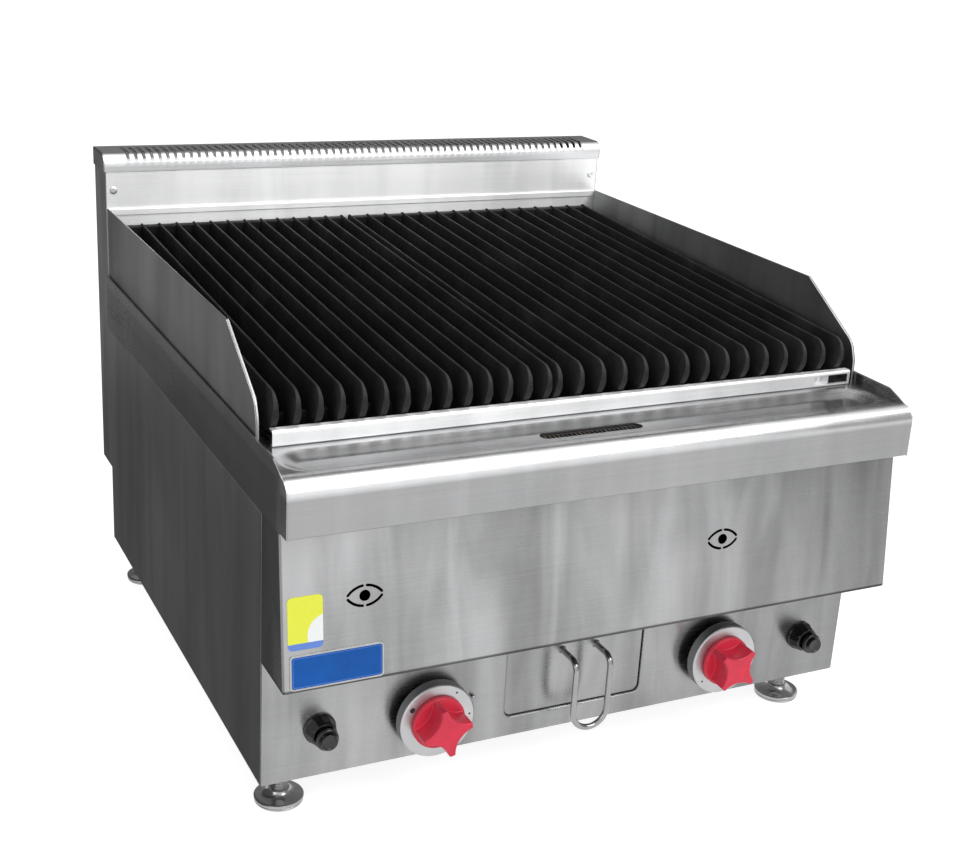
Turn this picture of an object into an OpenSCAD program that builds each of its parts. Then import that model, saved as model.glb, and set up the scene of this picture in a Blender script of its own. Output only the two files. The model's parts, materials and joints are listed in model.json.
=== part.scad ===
// Two-burner gas charbroiler for a bench or stand, as an assembly of separate pieces.
// Units are millimetres. X runs to the right, Y to the back, Z up.
// The origin is on the floor, under the middle of the body.

/* [Overall] */
// Width over the side panels
overall_w = 600; // [560:10:700]
// Depth from the nosing to the back of the flue
overall_d = 650; // [650:10:700]
// Height from the floor to the top of the flue
overall_h = 475; // [465:5:520]
// Gap between the floor and the cabinet
floor_gap = 37; // [30:1:45]
// Thickness of the panels
sheet = 1.2; // [1:0.1:1.5]

/* [Cabinet] */
// How far the control panel stands behind the nosing
control_setback = 59; // [55:1:70]
// Depth of the flue box
flue_d = 49; // [45:1:60]
// Height of the seam between the side panels and the top frame
seam_z = 288; // [284:1:292]
// Height of the gutter deck
deck_z = 334; // [330:1:336]
// Height of the raised side edges
rim_z = 344; // [341:1:346]
// Height of the top of the guards
guard_z = 417; // [410:1:425]
// Height of the bottom edge of the front panel
front_panel_z = 154; // [148:1:158]
// How far the front panel leans out over its height
front_panel_lean = 13.5; // [8:0.5:16]

/* [Grates] */
// Number of bars in the left grate
left_bars = 14; // [13:1:14]
// Spacing of the bars in the left grate
left_pitch = 18.9; // [18:0.1:18.9]
// Number of bars in the right grate
right_bars = 15; // [14:1:15]
// Spacing of the bars in the right grate
right_pitch = 21.64; // [20:0.02:21.64]
// Width of a bar at its thickest
bar_w = 6.4; // [5.4:0.1:7]
// Depth of a bar
bar_h = 40; // [38:1:40]
// Backward rise of the grates in degrees
grate_rise = 2.6; // [1:0.1:2.8]

/* [Controls] */
// Distance from the middle to each burner
burner_x = 150; // [145:1:155]
// Place of the left tap across the width
left_tap_x = -146; // [-150:1:-142]
// Place of the right tap across the width
right_tap_x = 152; // [148:1:156]
// Height of the left tap
left_tap_z = 79; // [76:0.5:84]
// Height of the right tap
right_tap_z = 83.5; // [76:0.5:85]
// Place of the left igniter across the width
left_igniter_x = -248; // [-252:1:-240]
// Place of the right igniter across the width
right_igniter_x = 253; // [240:1:256]
// Height of the igniters
igniter_z = 83; // [78:1:88]
// Outer diameter of a knob dial
dial_d = 70; // [66:1:74]
// Travel of a knob when it is pushed in
knob_push = 3; // [2:0.5:3]

/* [Drawer] */
// Width of the drawer opening
drawer_w = 141.5; // [136:0.5:144]
// Height of the lower edge of the drawer opening
drawer_z = 56; // [54:1:58]
// Height of the upper edge of the drawer opening
drawer_top_z = 128; // [124:1:130]
// Depth of the grease tray
tray_d = 430; // [300:10:440]

/* [Flue] */
// Number of slots in the flue cap
cap_slots = 65; // [50:1:66]
// Width of one slot
cap_slot_w = 3.9; // [3:0.1:4]

/* [Hidden] */

$fn = 48;

// Main planes
half_w = overall_w / 2;
front_y = -overall_d / 2;
back_y = overall_d / 2;
control_y = front_y + control_setback;
body_back_y = back_y - flue_d;
panel_x = half_w - sheet;
cut = 1;            // how far a cutter runs past the face it cuts
gap = 0.3;          // clearance between pieces that move past each other
seam = 0.1;         // gap at a butt seam between two sheets of one sub-part

// Nosing and gutter
nosing_r = 12.5;
nosing_bottom_z = seam_z + 1;
nosing_top_z = deck_z + 1.5;
nosing_return = 14;
deck_t = 1.5;
gutter_y = front_y + 49;
gutter_half = 265;
gutter_top_r = 25;
gutter_bottom_r = 10;
gutter_depth = 6;
slot_x = -8;
slot_y = gutter_y + 4;
slot_half = 43.5;
slot_r = 6.5;
hearth_x = 283;             // half width of the opening over the firebox
hearth_front_y = front_y + 93;
hearth_back_y = body_back_y - 8;

// Front panel
front_panel_top_y = front_y + 17;
front_panel_drop = seam_z - front_panel_z;
front_panel_angle = atan(front_panel_lean / front_panel_drop);
control_top_z = front_panel_z + 26;     // the control panel runs up behind the front panel
sight_left_x = -230;
sight_right_x = 111;
sight_z = 227.5;

// Guards
guard_t = 1.5;
guard_x = half_w - 3;
guard_knee_y = front_y + 167.5;
guard_slope_y = front_y + 92;
guard_slope_z = guard_z - 45;
guard_nose_y = front_y + 85;

// Flue
cap_lip_z = overall_h - 19;
cap_r = 11;
flue_bottom_z = 121;
cap_t = 1;
flue_duct_x = 250;
flue_duct_z0 = 185;
flue_duct_z1 = 300;

// Firebox and grease pan
fire_x = 279;
fire_front_y = front_y + 97;
fire_back_y = body_back_y - 14;
fire_z0 = 168;
fire_z1 = deck_z - deck_t;
fire_ledge = 9;             // width of the ledges along the sides
burner_z = 232;
ledge_z = 260;
centre_ledge = 20;          // half width of the bar that carries the inner edges of the radiants
pan_side_z = 198;
pan_y0 = front_y + 127;
pan_y1 = fire_back_y - 12;

// Grates
grate_front_y = front_y + 82;
grate_front_z = deck_z + 44;
grate_len = 513;
left_first_x = -281.4;
right_first_x = -25.6;
rest_front_y0 = hearth_front_y + 2;     // front edge of the ledge under the noses of the grates
rest_back_y0 = hearth_back_y - 16;      // front edge of the ledge under the rear of the grates

// Height of the underside of the grates at a given depth
function grate_under(y) = grate_front_z + (y - grate_front_y) * tan(grate_rise) - bar_h / cos(grate_rise);

// Burners
leg_x = 58;
leg_r = 16;
leg_front_y = front_y + 135;
leg_back_y = body_back_y - 51;
mixer_r = 13;

// Controls, by side: -1 is left and 1 is right
function tap_x(side) = side < 0 ? left_tap_x : right_tap_x;
function tap_z(side) = side < 0 ? left_tap_z : right_tap_z;
function igniter_x(side) = side < 0 ? left_igniter_x : right_igniter_x;
function pilot_x(side) = side < 0 ? sight_left_x : sight_right_x;
pilot_y = front_y + 111;
dial_back_y = control_y - 8;
dial_front_y = dial_back_y - 11;
grip_front_y = dial_front_y - 24;
spindle_r = 4;
plug_r = 8;
running = 0.05;             // radial clearance of a running fit

// Gas supply
supply_y = front_y + 89;
supply_z = 146;
supply_r = 10;
supply_x = 225;
inlet_z = 80;
riser_x = 22;
riser_y = control_y + 14;
thread_r = 10.48;

// Feet
foot_left_x = -273;
foot_right_x = 259;
foot_front_y = front_y + 90;
foot_rear_y = front_y + 560;
stem_r = 6;

// Colours
STEEL = [0.74, 0.75, 0.76];
DARK_STEEL = [0.42, 0.43, 0.45];
IRON = [0.09, 0.09, 0.09];
BRASS = [0.78, 0.6, 0.28];
RED = [0.82, 0.1, 0.16];
BLACK = [0.05, 0.05, 0.05];
BLUE = [0.08, 0.32, 0.7];
YELLOW = [0.93, 0.83, 0.2];
WHITE = [0.9, 0.9, 0.87];

// ---------------------------------------------------------------- helpers

// A block given by its low and high corners
module block(low, high) {
    translate(low) cube(high - low);
}

// Extrudes an outline drawn in Y and Z along X, from x0 to x1
module along_x(x0, x1) {
    translate([x0, 0, 0]) rotate([90, 0, 90]) linear_extrude(height = x1 - x0) children();
}

// Extrudes an outline drawn in X and Z along Y, from y0 to y1
module along_y(y0, y1) {
    translate([0, y1, 0]) rotate([90, 0, 0]) linear_extrude(height = y1 - y0) children();
}

// A round bar along X, Y or Z
module rod_x(x0, x1, y, z, r) {
    translate([x0, y, z]) rotate([0, 90, 0]) cylinder(h = x1 - x0, r = r);
}
module rod_y(x, y0, y1, z, r) {
    translate([x, y0, z]) rotate([-90, 0, 0]) cylinder(h = y1 - y0, r = r);
}
module rod_z(x, y, z0, z1, r) {
    translate([x, y, z0]) cylinder(h = z1 - z0, r = r);
}

// A round bar between two points that differ in one coordinate only
module run(a, b, r) {
    if (a[0] != b[0]) rod_x(min(a[0], b[0]), max(a[0], b[0]), a[1], a[2], r);
    if (a[1] != b[1]) rod_y(a[0], min(a[1], b[1]), max(a[1], b[1]), a[2], r);
    if (a[2] != b[2]) rod_z(a[0], a[1], min(a[2], b[2]), max(a[2], b[2]), r);
}

// A pipe through points, each of which differs from the one before in one coordinate
module pipe(points, r) {
    for (i = [1 : len(points) - 1]) run(points[i - 1], points[i], r);
    if (len(points) > 2) for (i = [1 : len(points) - 2]) translate(points[i]) sphere(r = r);
}

// A quarter of a bent rod in the XY plane, from +X towards +Y
module elbow(bend_r, r) {
    rotate_extrude(angle = 90) translate([bend_r, 0]) circle(r = r);
}

// An outline with rounded lower corners
module rounded_bottom(x0, x1, z0, z1, r) {
    translate([x0, z0 + r]) square([x1 - x0, z1 - z0 - r]);
    translate([x0 + r, z0]) square([x1 - x0 - 2 * r, r]);
    translate([x0 + r, z0 + r]) circle(r = r);
    translate([x1 - r, z0 + r]) circle(r = r);
}

// A bar with round ends, along X, centred
module obround(half_len, r) {
    translate([-half_len, -r]) square([2 * half_len, 2 * r]);
    translate([-half_len, 0]) circle(r = r);
    translate([half_len, 0]) circle(r = r);
}

// Places children on the leaning front panel: X across, Z down its slope from the seam
module on_front_panel() {
    translate([0, front_panel_top_y, seam_z]) rotate([-front_panel_angle, 0, 0]) children();
}

// ---------------------------------------------------------------- cabinet

module base_pan() {
    flange = 14;
    nut_r = 11;
    nut_h = 8;
    y0 = control_y + sheet;
    y1 = body_back_y - sheet;
    color(STEEL) difference() {
        union() {
            block([-panel_x, y0, floor_gap], [panel_x, y1, floor_gap + sheet]);
            for (y = [y0, y1 - sheet])
                block([-panel_x, y, floor_gap + sheet], [panel_x, y + sheet, floor_gap + flange]);
            for (x = [-panel_x, panel_x - sheet])
                block([x, y0, floor_gap + sheet], [x + sheet, y1, floor_gap + flange]);
            for (x = [foot_left_x, foot_right_x], y = [foot_front_y, foot_rear_y])
                translate([x, y, floor_gap + sheet]) cylinder(h = nut_h, r = nut_r, $fn = 6);
        }
        for (x = [foot_left_x, foot_right_x], y = [foot_front_y, foot_rear_y])
            rod_z(x, y, floor_gap - cut, floor_gap + sheet + nut_h + cut, stem_r + running);
    }
}

module side_panel(side) {
    flange = 14;
    x_in = side * (panel_x - flange);
    x_out = side * half_w;
    x_skin = side * panel_x;
    y0 = control_y + sheet;
    color(STEEL) {
        block([min(x_skin, x_out), y0, floor_gap], [max(x_skin, x_out), body_back_y, seam_z]);
        block([min(x_in, x_skin), y0, seam_z - sheet],
              [max(x_in, x_skin), body_back_y - sheet, seam_z]);
    }
}
module side_panel_left() side_panel(-1);
module side_panel_right() side_panel(1);

module rear_panel() {
    vent_w = 3.8;
    vent_h = 34;
    vent_z = 62;
    y0 = body_back_y - sheet;
    color(STEEL) difference() {
        block([-panel_x, y0, floor_gap + sheet], [panel_x, body_back_y, seam_z - sheet - gap]);
        block([-flue_duct_x, y0 - cut, flue_duct_z0], [flue_duct_x, body_back_y + cut, seam_z]);
        for (group = [-150, 0, 130], i = [-5 : 5])
            block([group + i * 10 - vent_w / 2, y0 - cut, vent_z],
                  [group + i * 10 + vent_w / 2, body_back_y + cut, vent_z + vent_h]);
        rod_y(supply_x, y0 - cut, body_back_y + cut, inlet_z, supply_r + 2);
    }
}

module control_panel() {
    collar_d = 7;
    collar_t = 1.2;
    corner_r = 7;
    half = drawer_w / 2;
    color(STEEL) difference() {
        union() {
            block([-half_w + 0.7, control_y, floor_gap], [half_w - 0.7, control_y + sheet, control_top_z]);
            along_y(control_y, control_y + collar_d) rounded_bottom(-half - collar_t, half + collar_t,
                drawer_z - collar_t, drawer_top_z + collar_t, corner_r + collar_t);
        }
        along_y(control_y - cut, control_y + collar_d + cut)
            rounded_bottom(-half, half, drawer_z, drawer_top_z, corner_r);
        for (side = [-1, 1]) {
            rod_y(tap_x(side), control_y - cut, control_y + sheet + cut, tap_z(side), 8);
            rod_y(igniter_x(side), control_y - cut, control_y + sheet + cut, igniter_z, 10.2);
        }
    }
}

// One sight hole: a pupil, and a lid above and below it made of two curved slots
module sight_hole_outline() {
    lid_r = 18.7;
    lid_drop = 10.1;
    slot_w = 2.3;
    inner_x = 1.9;
    outer_x = 14.5;
    circle(r = 4.75);
    for (lid = [-1, 1]) scale([1, lid]) {
        intersection() {
            translate([0, -lid_drop]) difference() {
                circle(r = lid_r + slot_w / 2);
                circle(r = lid_r - slot_w / 2);
            }
            union() {
                translate([inner_x, 0]) square([outer_x - inner_x, lid_r]);
                translate([-outer_x, 0]) square([outer_x - inner_x, lid_r]);
            }
        }
        for (side = [-1, 1], x = [inner_x, outer_x])
            translate([side * x, sqrt(lid_r * lid_r - x * x) - lid_drop]) circle(r = slot_w / 2);
    }
}

module front_panel() {
    bottom_y = front_panel_top_y - front_panel_lean;
    slope = front_panel_lean / front_panel_drop;
    color(STEEL) difference() {
        union() {
            along_x(-half_w, half_w) polygon([
                [front_panel_top_y, seam_z], [bottom_y, front_panel_z], [control_y, front_panel_z],
                [control_y, front_panel_z + sheet], [bottom_y + sheet * (1 + slope), front_panel_z + sheet],
                [front_panel_top_y + sheet, seam_z]]);
            // Upstand behind the return of the nosing
            block([-panel_x + gap, front_panel_top_y, seam_z - 0.01],
                  [panel_x - gap, front_panel_top_y + sheet, seam_z + 14]);
            for (x = [-half_w, panel_x]) {
                along_x(x, x + sheet) polygon([
                    [front_panel_top_y, seam_z], [bottom_y, front_panel_z],
                    [control_y, front_panel_z], [control_y, seam_z]]);
                block([x, control_y, control_top_z], [x + sheet, control_y + sheet, seam_z]);
            }
        }
        for (x = [sight_left_x, sight_right_x]) on_front_panel()
            translate([x, 0, -(seam_z - sight_z) / cos(front_panel_angle)])
                along_y(-4, 4) sight_hole_outline();
    }
}

// Side view of the solid nosing, used for its closed ends
module nosing_outline() {
    translate([front_y, nosing_bottom_z])
        square([nosing_return, nosing_top_z - nosing_r - nosing_bottom_z]);
    intersection() {
        translate([front_y + nosing_r, nosing_top_z - nosing_r]) circle(r = nosing_r);
        translate([front_y, nosing_top_z - nosing_r]) square(nosing_r);
    }
    polygon([[front_y + nosing_r, seam_z + 10], [front_y + nosing_r, nosing_top_z], [front_y + 35, rim_z],
             [front_y + 60, rim_z], [front_y + 60, seam_z], [front_y + nosing_return, seam_z]]);
}

// Side view of the folded sheet that makes the nosing and the deck behind it
module nosing_sheet_outline() {
    arc_z = nosing_top_z - nosing_r;
    translate([front_y, nosing_bottom_z]) square([deck_t, arc_z - nosing_bottom_z]);
    translate([front_y, nosing_bottom_z]) square([nosing_return, deck_t]);
    intersection() {
        translate([front_y + nosing_r, arc_z]) difference() {
            circle(r = nosing_r);
            circle(r = nosing_r - deck_t);
        }
        translate([front_y, arc_z]) square(nosing_r);
    }
    polygon([[front_y + nosing_r, nosing_top_z], [front_y + 24, deck_z], [hearth_front_y, deck_z],
             [hearth_front_y, deck_z - deck_t], [front_y + 24, deck_z - deck_t],
             [front_y + nosing_r, nosing_top_z - deck_t]]);
}

// Half of the gutter's section, from its middle outwards
module gutter_half_outline() {
    floor_z = deck_z - gutter_depth;
    skew = 0.6;
    polygon([[0, floor_z], [gutter_bottom_r, floor_z], [gutter_top_r, deck_z],
             [gutter_top_r + skew, deck_z], [gutter_top_r + skew, deck_z - deck_t],
             [gutter_bottom_r + skew, floor_z - deck_t], [0, floor_z - deck_t]]);
}

// Nosing and deck in front of the hearth, with the gutter pressed into it
module front_deck() {
    difference() {
        along_x(-panel_x + seam, panel_x - seam) nosing_sheet_outline();
        translate([0, gutter_y, deck_z - 2 * deck_t]) linear_extrude(height = 3 * deck_t)
            obround(gutter_half, gutter_top_r);
    }
    difference() {
        union() {
            for (side = [0, 1]) mirror([0, side, 0]) translate([0, side ? -2 * gutter_y : 0, 0])
                along_x(-gutter_half, gutter_half) translate([gutter_y, 0]) gutter_half_outline();
            for (side = [0, 1]) mirror([side, 0, 0]) translate([gutter_half, gutter_y, 0])
                rotate([0, 0, -90]) rotate_extrude(angle = 180) gutter_half_outline();
        }
        translate([slot_x, slot_y, deck_z - gutter_depth - 2 * deck_t])
            linear_extrude(height = 4 * deck_t) obround(slot_half, slot_r);
    }
}

// Closed end of the nosing, which runs on as the raised edge of the deck
module deck_end() {
    rim_t = 2.4;
    along_x(panel_x, half_w) {
        nosing_outline();
        translate([front_y + 60, seam_z]) square([body_back_y - front_y - 60, rim_z - seam_z]);
    }
    block([half_w - rim_t, front_y + 35, deck_z + seam], [panel_x, body_back_y, rim_z]);
}

module top_frame() {
    color(STEEL) {
        front_deck();
        for (side = [0, 1]) mirror([side, 0, 0]) {
            deck_end();
            block([hearth_x, hearth_front_y + seam, deck_z - deck_t], [panel_x - seam, body_back_y, deck_z]);
        }
        block([-hearth_x + seam, hearth_back_y, deck_z - deck_t], [hearth_x - seam, body_back_y, deck_z]);
    }
}

module drain_strainer() {
    half = slot_half + slot_r + 5;
    z1 = deck_z - gutter_depth - deck_t;
    pitch = 4.2;
    color(STEEL) difference() {
        block([slot_x - half, slot_y - 10, z1 - 1], [slot_x + half, slot_y + 6, z1]);
        for (i = [-11 : 11])
            block([slot_x + i * pitch - 1.2, slot_y - 5, z1 - 2],
                  [slot_x + i * pitch + 1.2, slot_y + 4, z1 + cut]);
    }
}

module front_strip() {
    t = 1.2;
    y0 = front_y + 80;
    z1 = deck_z + 14;
    x0 = -285;
    x1 = 288;
    notch_x = 247;
    lip = 8;
    foot = 6;
    color(STEEL) {
        difference() {
            block([x0, y0, deck_z], [x1, y0 + t, z1]);
            block([notch_x, y0 - cut, deck_z + 2], [x1 - 3, y0 + t + cut, z1 - 3]);
        }
        block([x0, y0 + t, z1 - t], [x1, y0 + lip, z1]);
        block([x0, y0 + t, deck_z], [x1, y0 + foot, deck_z + t]);
        block([notch_x + 4, y0 + foot - t, deck_z + t], [notch_x + 20, y0 + foot, z1 - t]);
    }
}

module guard_outline() {
    polygon([[body_back_y, deck_z], [body_back_y, guard_z], [guard_knee_y, guard_z],
             [guard_slope_y, guard_slope_z], [guard_nose_y + 2.2, guard_slope_z - 9],
             [guard_nose_y, guard_slope_z - 20], [guard_nose_y, deck_z]]);
}

module side_guard(side) {
    x0 = side > 0 ? guard_x - guard_t : -guard_x;
    color(STEEL) along_x(x0, x0 + guard_t) guard_outline();
}
module side_guard_left() side_guard(-1);
module side_guard_right() side_guard(1);

module rear_guard() {
    x = guard_x - guard_t;
    color(STEEL) {
        block([-x, body_back_y - guard_t, deck_z], [x, body_back_y, guard_z]);
        block([-x, body_back_y - 3, guard_z - 1], [x, body_back_y - guard_t, guard_z]);
    }
}

// ---------------------------------------------------------------- flue

// Five sheets that are butted together: front with the duct's opening, back, floor and two ends
module flue_box() {
    x = half_w - cap_t;
    end_x = x - sheet;
    y0 = body_back_y + sheet + seam;
    y1 = back_y - cap_t;
    back_sheet_y = y1 - sheet;
    front_top_z = cap_lip_z + 8;
    top_z = overall_h - cap_t - 5;
    color(STEEL) {
        difference() {
            block([-x, body_back_y, flue_bottom_z], [x, body_back_y + sheet, front_top_z]);
            block([-flue_duct_x, body_back_y - cut, flue_duct_z0],
                  [flue_duct_x, body_back_y + sheet + cut, flue_duct_z1]);
        }
        block([-x, back_sheet_y, flue_bottom_z], [x, y1, top_z]);
        block([-end_x + seam, y0, flue_bottom_z],
              [end_x - seam, back_sheet_y - seam, flue_bottom_z + sheet]);
        for (side = [0, 1]) mirror([side, 0, 0]) difference() {
            block([end_x, y0, flue_bottom_z], [x, back_sheet_y - seam, top_z]);
            // Room for the rounded front edge of the cap
            block([end_x - cut, y0 - cut, front_top_z], [x + cut, y0 + 6, top_z + cut]);
        }
    }
}

// Section of the cap across the flue
module cap_outline(inset, below) {
    y0 = body_back_y - cap_t + inset;
    y1 = back_y - inset;
    z1 = overall_h - inset;
    r = cap_r - inset;
    translate([y0, cap_lip_z - below]) square([y1 - y0, z1 - r - cap_lip_z + below]);
    translate([y0 + r, z1 - r - 0.5]) square([y1 - y0 - r, r + 0.5]);
    intersection() {
        translate([y0 + r, z1 - r]) circle(r = r);
        translate([y0, z1 - r]) square(r);
    }
}

module flue_cap() {
    pitch = 547 / 64;
    first = -pitch * (cap_slots - 1) / 2;
    slot_front_z = overall_h - 9;
    slot_back_y = back_y - 13;
    color(STEEL) difference() {
        along_x(-half_w, half_w) cap_outline(0, 0);
        along_x(-half_w + cap_t, half_w - cap_t) cap_outline(cap_t, cut);
        for (i = [0 : cap_slots - 1])
            block([first + i * pitch - cap_slot_w / 2, body_back_y - 5, slot_front_z],
                  [first + i * pitch + cap_slot_w / 2, slot_back_y, overall_h + cut]);
    }
}

// ---------------------------------------------------------------- fire

// Four walls: front and back at full width, the sides between them
module firebox() {
    y0 = fire_front_y + sheet;
    y1 = fire_back_y - sheet;
    pilot_hole_r = 12;
    pin_hole_r = 5.5;
    color(DARK_STEEL) {
        difference() {
            block([-fire_x, fire_front_y, fire_z0], [fire_x, y0, fire_z1]);
            for (side = [-1, 1]) rod_y(side * burner_x, fire_front_y - cut, y0 + cut, burner_z, mixer_r + 1.5);
            for (x = [sight_left_x, sight_right_x])
                rod_y(x, fire_front_y - cut, y0 + cut, sight_z, pilot_hole_r);
        }
        difference() {
            block([-fire_x, y1, fire_z0], [fire_x, fire_back_y, fire_z1]);
            for (side = [-1, 1], leg = [-leg_x, leg_x])
                rod_y(side * burner_x + leg, y1 - cut, fire_back_y + cut, burner_z, pin_hole_r);
            block([-flue_duct_x, y1 - cut, ledge_z + 10], [flue_duct_x, fire_back_y + cut, flue_duct_z1]);
        }
        for (side = [0, 1]) mirror([side, 0, 0])
            block([fire_x - sheet, y0 + seam, fire_z0], [fire_x, y1 - seam, fire_z1]);
    }
}

// Flange around the firebox, notched at its corners, that hangs it under the deck
module firebox_rim() {
    flange = 12;
    z0 = fire_z1 - sheet;
    color(DARK_STEEL) {
        for (y = [fire_front_y - flange, fire_back_y])
            block([-fire_x - flange, y, z0], [fire_x + flange, y + flange, fire_z1]);
        for (x = [-fire_x - flange, fire_x])
            block([x, fire_front_y + seam, z0], [x + flange, fire_back_y - seam, fire_z1]);
    }
}

// Ledges for the radiants and the grease pan, with a stiffened bar between the two radiants
module firebox_ledges() {
    inner_x = fire_x - sheet;
    y0 = fire_front_y + sheet;
    y1 = fire_back_y - sheet;
    pan_ledge_z = pan_side_z - 2.5;
    stiffener = 20;
    color(DARK_STEEL) {
        for (side = [0, 1]) mirror([side, 0, 0]) {
            block([inner_x - fire_ledge, y0, ledge_z - sheet], [inner_x, y1, ledge_z]);
            block([inner_x - fire_ledge, pan_y0, pan_ledge_z - sheet], [inner_x, pan_y1, pan_ledge_z]);
        }
        block([-centre_ledge, y0, ledge_z - sheet], [centre_ledge, y1, ledge_z]);
        block([-sheet / 2, y0, ledge_z - stiffener], [sheet / 2, y1, ledge_z - sheet]);
    }
}

module grate_rests() {
    t = 2;
    front_ledge = 28;
    front_z = grate_under(rest_front_y0) - gap;
    back_z = grate_under(rest_back_y0) - gap;
    color(DARK_STEEL) {
        block([-hearth_x, hearth_front_y, fire_z1], [hearth_x, rest_front_y0, front_z]);
        block([-hearth_x, rest_front_y0, front_z - t], [hearth_x, rest_front_y0 + front_ledge, front_z]);
        block([-hearth_x, hearth_back_y - t, fire_z1], [hearth_x, hearth_back_y, back_z]);
        block([-hearth_x, rest_back_y0, back_z - t], [hearth_x, hearth_back_y - t, back_z]);
    }
}

// Sheet that falls from both sides to a drain in the middle
module grease_pan() {
    side_x = fire_x - sheet - gap;
    side_z = pan_side_z;
    low_x = 60;
    low_z = 172;
    drain_x = 55;
    end_h = 12;
    color(DARK_STEEL) {
        difference() {
            along_y(pan_y0, pan_y1) polygon([
                [-side_x, side_z], [-low_x, low_z], [low_x, low_z], [side_x, side_z],
                [side_x, side_z - sheet], [low_x, low_z - sheet],
                [-low_x, low_z - sheet], [-side_x, side_z - sheet]]);
            block([-drain_x, pan_y0 + 10, low_z - 5], [drain_x, pan_y0 + 345, low_z + 5]);
        }
        for (y = [pan_y0, pan_y1 - sheet]) along_y(y, y + sheet) polygon([
            [-side_x, side_z], [-low_x, low_z], [low_x, low_z], [side_x, side_z],
            [side_x, side_z + end_h], [-side_x, side_z + end_h]]);
    }
}

// Two closed legs joined at the front by a cross tube, with a mixing tube that leads in
module burner(x) {
    bell_y = front_y + 85;
    bell_r = 17;
    wall = 1.5;
    slots = 14;
    port_x = 9;
    slot_pitch = (leg_back_y - leg_front_y - 60) / (slots - 1);
    color(STEEL) translate([x, 0, burner_z]) difference() {
        union() {
            for (leg = [-leg_x, leg_x]) {
                rod_y(leg, leg_front_y, leg_back_y, 0, leg_r);
                translate([leg, leg_front_y, 0]) sphere(r = leg_r);
                rod_y(leg, leg_back_y, fire_back_y + 3, 0, 5.2);
            }
            rod_x(-leg_x, leg_x, leg_front_y, 0, leg_r);
            rod_y(0, bell_y + 8, leg_front_y, 0, mixer_r);
            translate([0, bell_y, 0]) rotate([-90, 0, 0]) cylinder(h = 8.01, r1 = bell_r, r2 = mixer_r);
        }
        for (leg = [-leg_x, leg_x]) {
            rod_y(leg, leg_front_y, leg_back_y - 2, 0, leg_r - wall);
            for (i = [0 : slots - 1])
                block([leg - port_x, leg_front_y + 30 + i * slot_pitch, 6],
                      [leg + port_x, leg_front_y + 32 + i * slot_pitch, leg_r + cut]);
        }
        rod_x(-leg_x, leg_x, leg_front_y, 0, leg_r - wall);
        rod_y(0, bell_y - cut, leg_front_y, 0, mixer_r - wall);
    }
}
module burner_left() burner(-burner_x);
module burner_right() burner(burner_x);

// A roof over each burner leg, folded from one slotted sheet that rests on the ledges
module radiant() {
    t = 1.5;
    inner_x = centre_ledge - 8;
    outer_x = fire_x - 5;
    lip = 10;
    z0 = ledge_z + gap;
    ridge_z = z0 + 38;
    valley_z = z0 + 6;
    y0 = fire_front_y + 30;
    y1 = fire_back_y - 16;
    slot_half_w = 10;
    slots = 6;
    slot_pitch = (y1 - y0 - 20) / slots;
    roof = [[inner_x, z0], [inner_x + lip, z0], [burner_x - leg_x, ridge_z], [burner_x, valley_z],
            [burner_x + leg_x, ridge_z], [outer_x - lip, z0], [outer_x, z0]];
    under = [for (i = [len(roof) - 1 : -1 : 0]) roof[i] - [0, t]];
    color(DARK_STEEL) translate([0, 0, t]) difference() {
        along_y(y0, y1) polygon(concat(roof, under));
        for (i = [0 : slots - 1], x = [-95, -33, 33, 92])
            block([burner_x + x - slot_half_w, y0 + 22 + i * slot_pitch, z0 - 5],
                  [burner_x + x + slot_half_w, y0 + 50 + i * slot_pitch, ridge_z + 5]);
    }
}
module radiant_left() mirror([1, 0, 0]) radiant();
module radiant_right() radiant();

// ---------------------------------------------------------------- grates

// Side view of a bar in the casting's own frame: its front end is a round nose with a deep chin
module bar_side_outline() {
    top_r = 13;
    chin_r = 27;
    translate([top_r, -top_r]) circle(r = top_r);
    translate([chin_r, -bar_h + chin_r]) circle(r = chin_r);
    translate([top_r, -bar_h + chin_r]) square([grate_len - top_r, bar_h - chin_r]);
    translate([chin_r, -bar_h]) square([grate_len - chin_r, chin_r]);
}

// Section of a bar: a narrow top that widens to half its depth, and a slightly narrower foot
module bar_section_outline() {
    bevel = 0.5;
    top_w = 2.4;
    foot_w = 5;
    side = [[top_w / 2 - bevel, 0], [top_w / 2, -bevel], [bar_w / 2, -bar_h / 2], [foot_w / 2, -bar_h]];
    other_side = [for (i = [len(side) - 1 : -1 : 0]) [-side[i][0], side[i][1]]];
    polygon(concat(side, other_side));
}

module grate(first_x, bars, pitch) {
    last_x = first_x + (bars - 1) * pitch;
    back_web = 8;
    color(IRON) translate([0, grate_front_y, grate_front_z]) rotate([grate_rise, 0, 0]) {
        for (i = [0 : bars - 1]) translate([first_x + i * pitch, 0, 0]) intersection() {
            along_y(0, grate_len) bar_section_outline();
            along_x(-bar_w, bar_w) bar_side_outline();
        }
        block([first_x, grate_len - back_web, -bar_h], [last_x, grate_len, -1.5]);
        for (y = [26, grate_len * 0.36, grate_len * 0.68])
            block([first_x, y, -bar_h], [last_x, y + 6, -bar_h + 12]);
    }
}
module grate_left() grate(left_first_x, left_bars, left_pitch);
module grate_right() grate(right_first_x, right_bars, right_pitch);

// ---------------------------------------------------------------- gas train

module gas_manifold() {
    bend = 16;
    drop = 7;
    color(DARK_STEEL) {
        rod_x(left_tap_x - 22, supply_x, supply_y, supply_z, supply_r);
        translate([supply_x, supply_y, supply_z]) sphere(r = supply_r);
        for (side = [-1, 1]) rod_z(tap_x(side), supply_y, tap_z(side) + 17, supply_z, drop);
        rod_z(supply_x, supply_y, inlet_z, supply_z, supply_r);
        translate([supply_x, supply_y, inlet_z]) sphere(r = supply_r);
        rod_y(supply_x, supply_y, body_back_y - 26, inlet_z, supply_r);
    }
}

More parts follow.
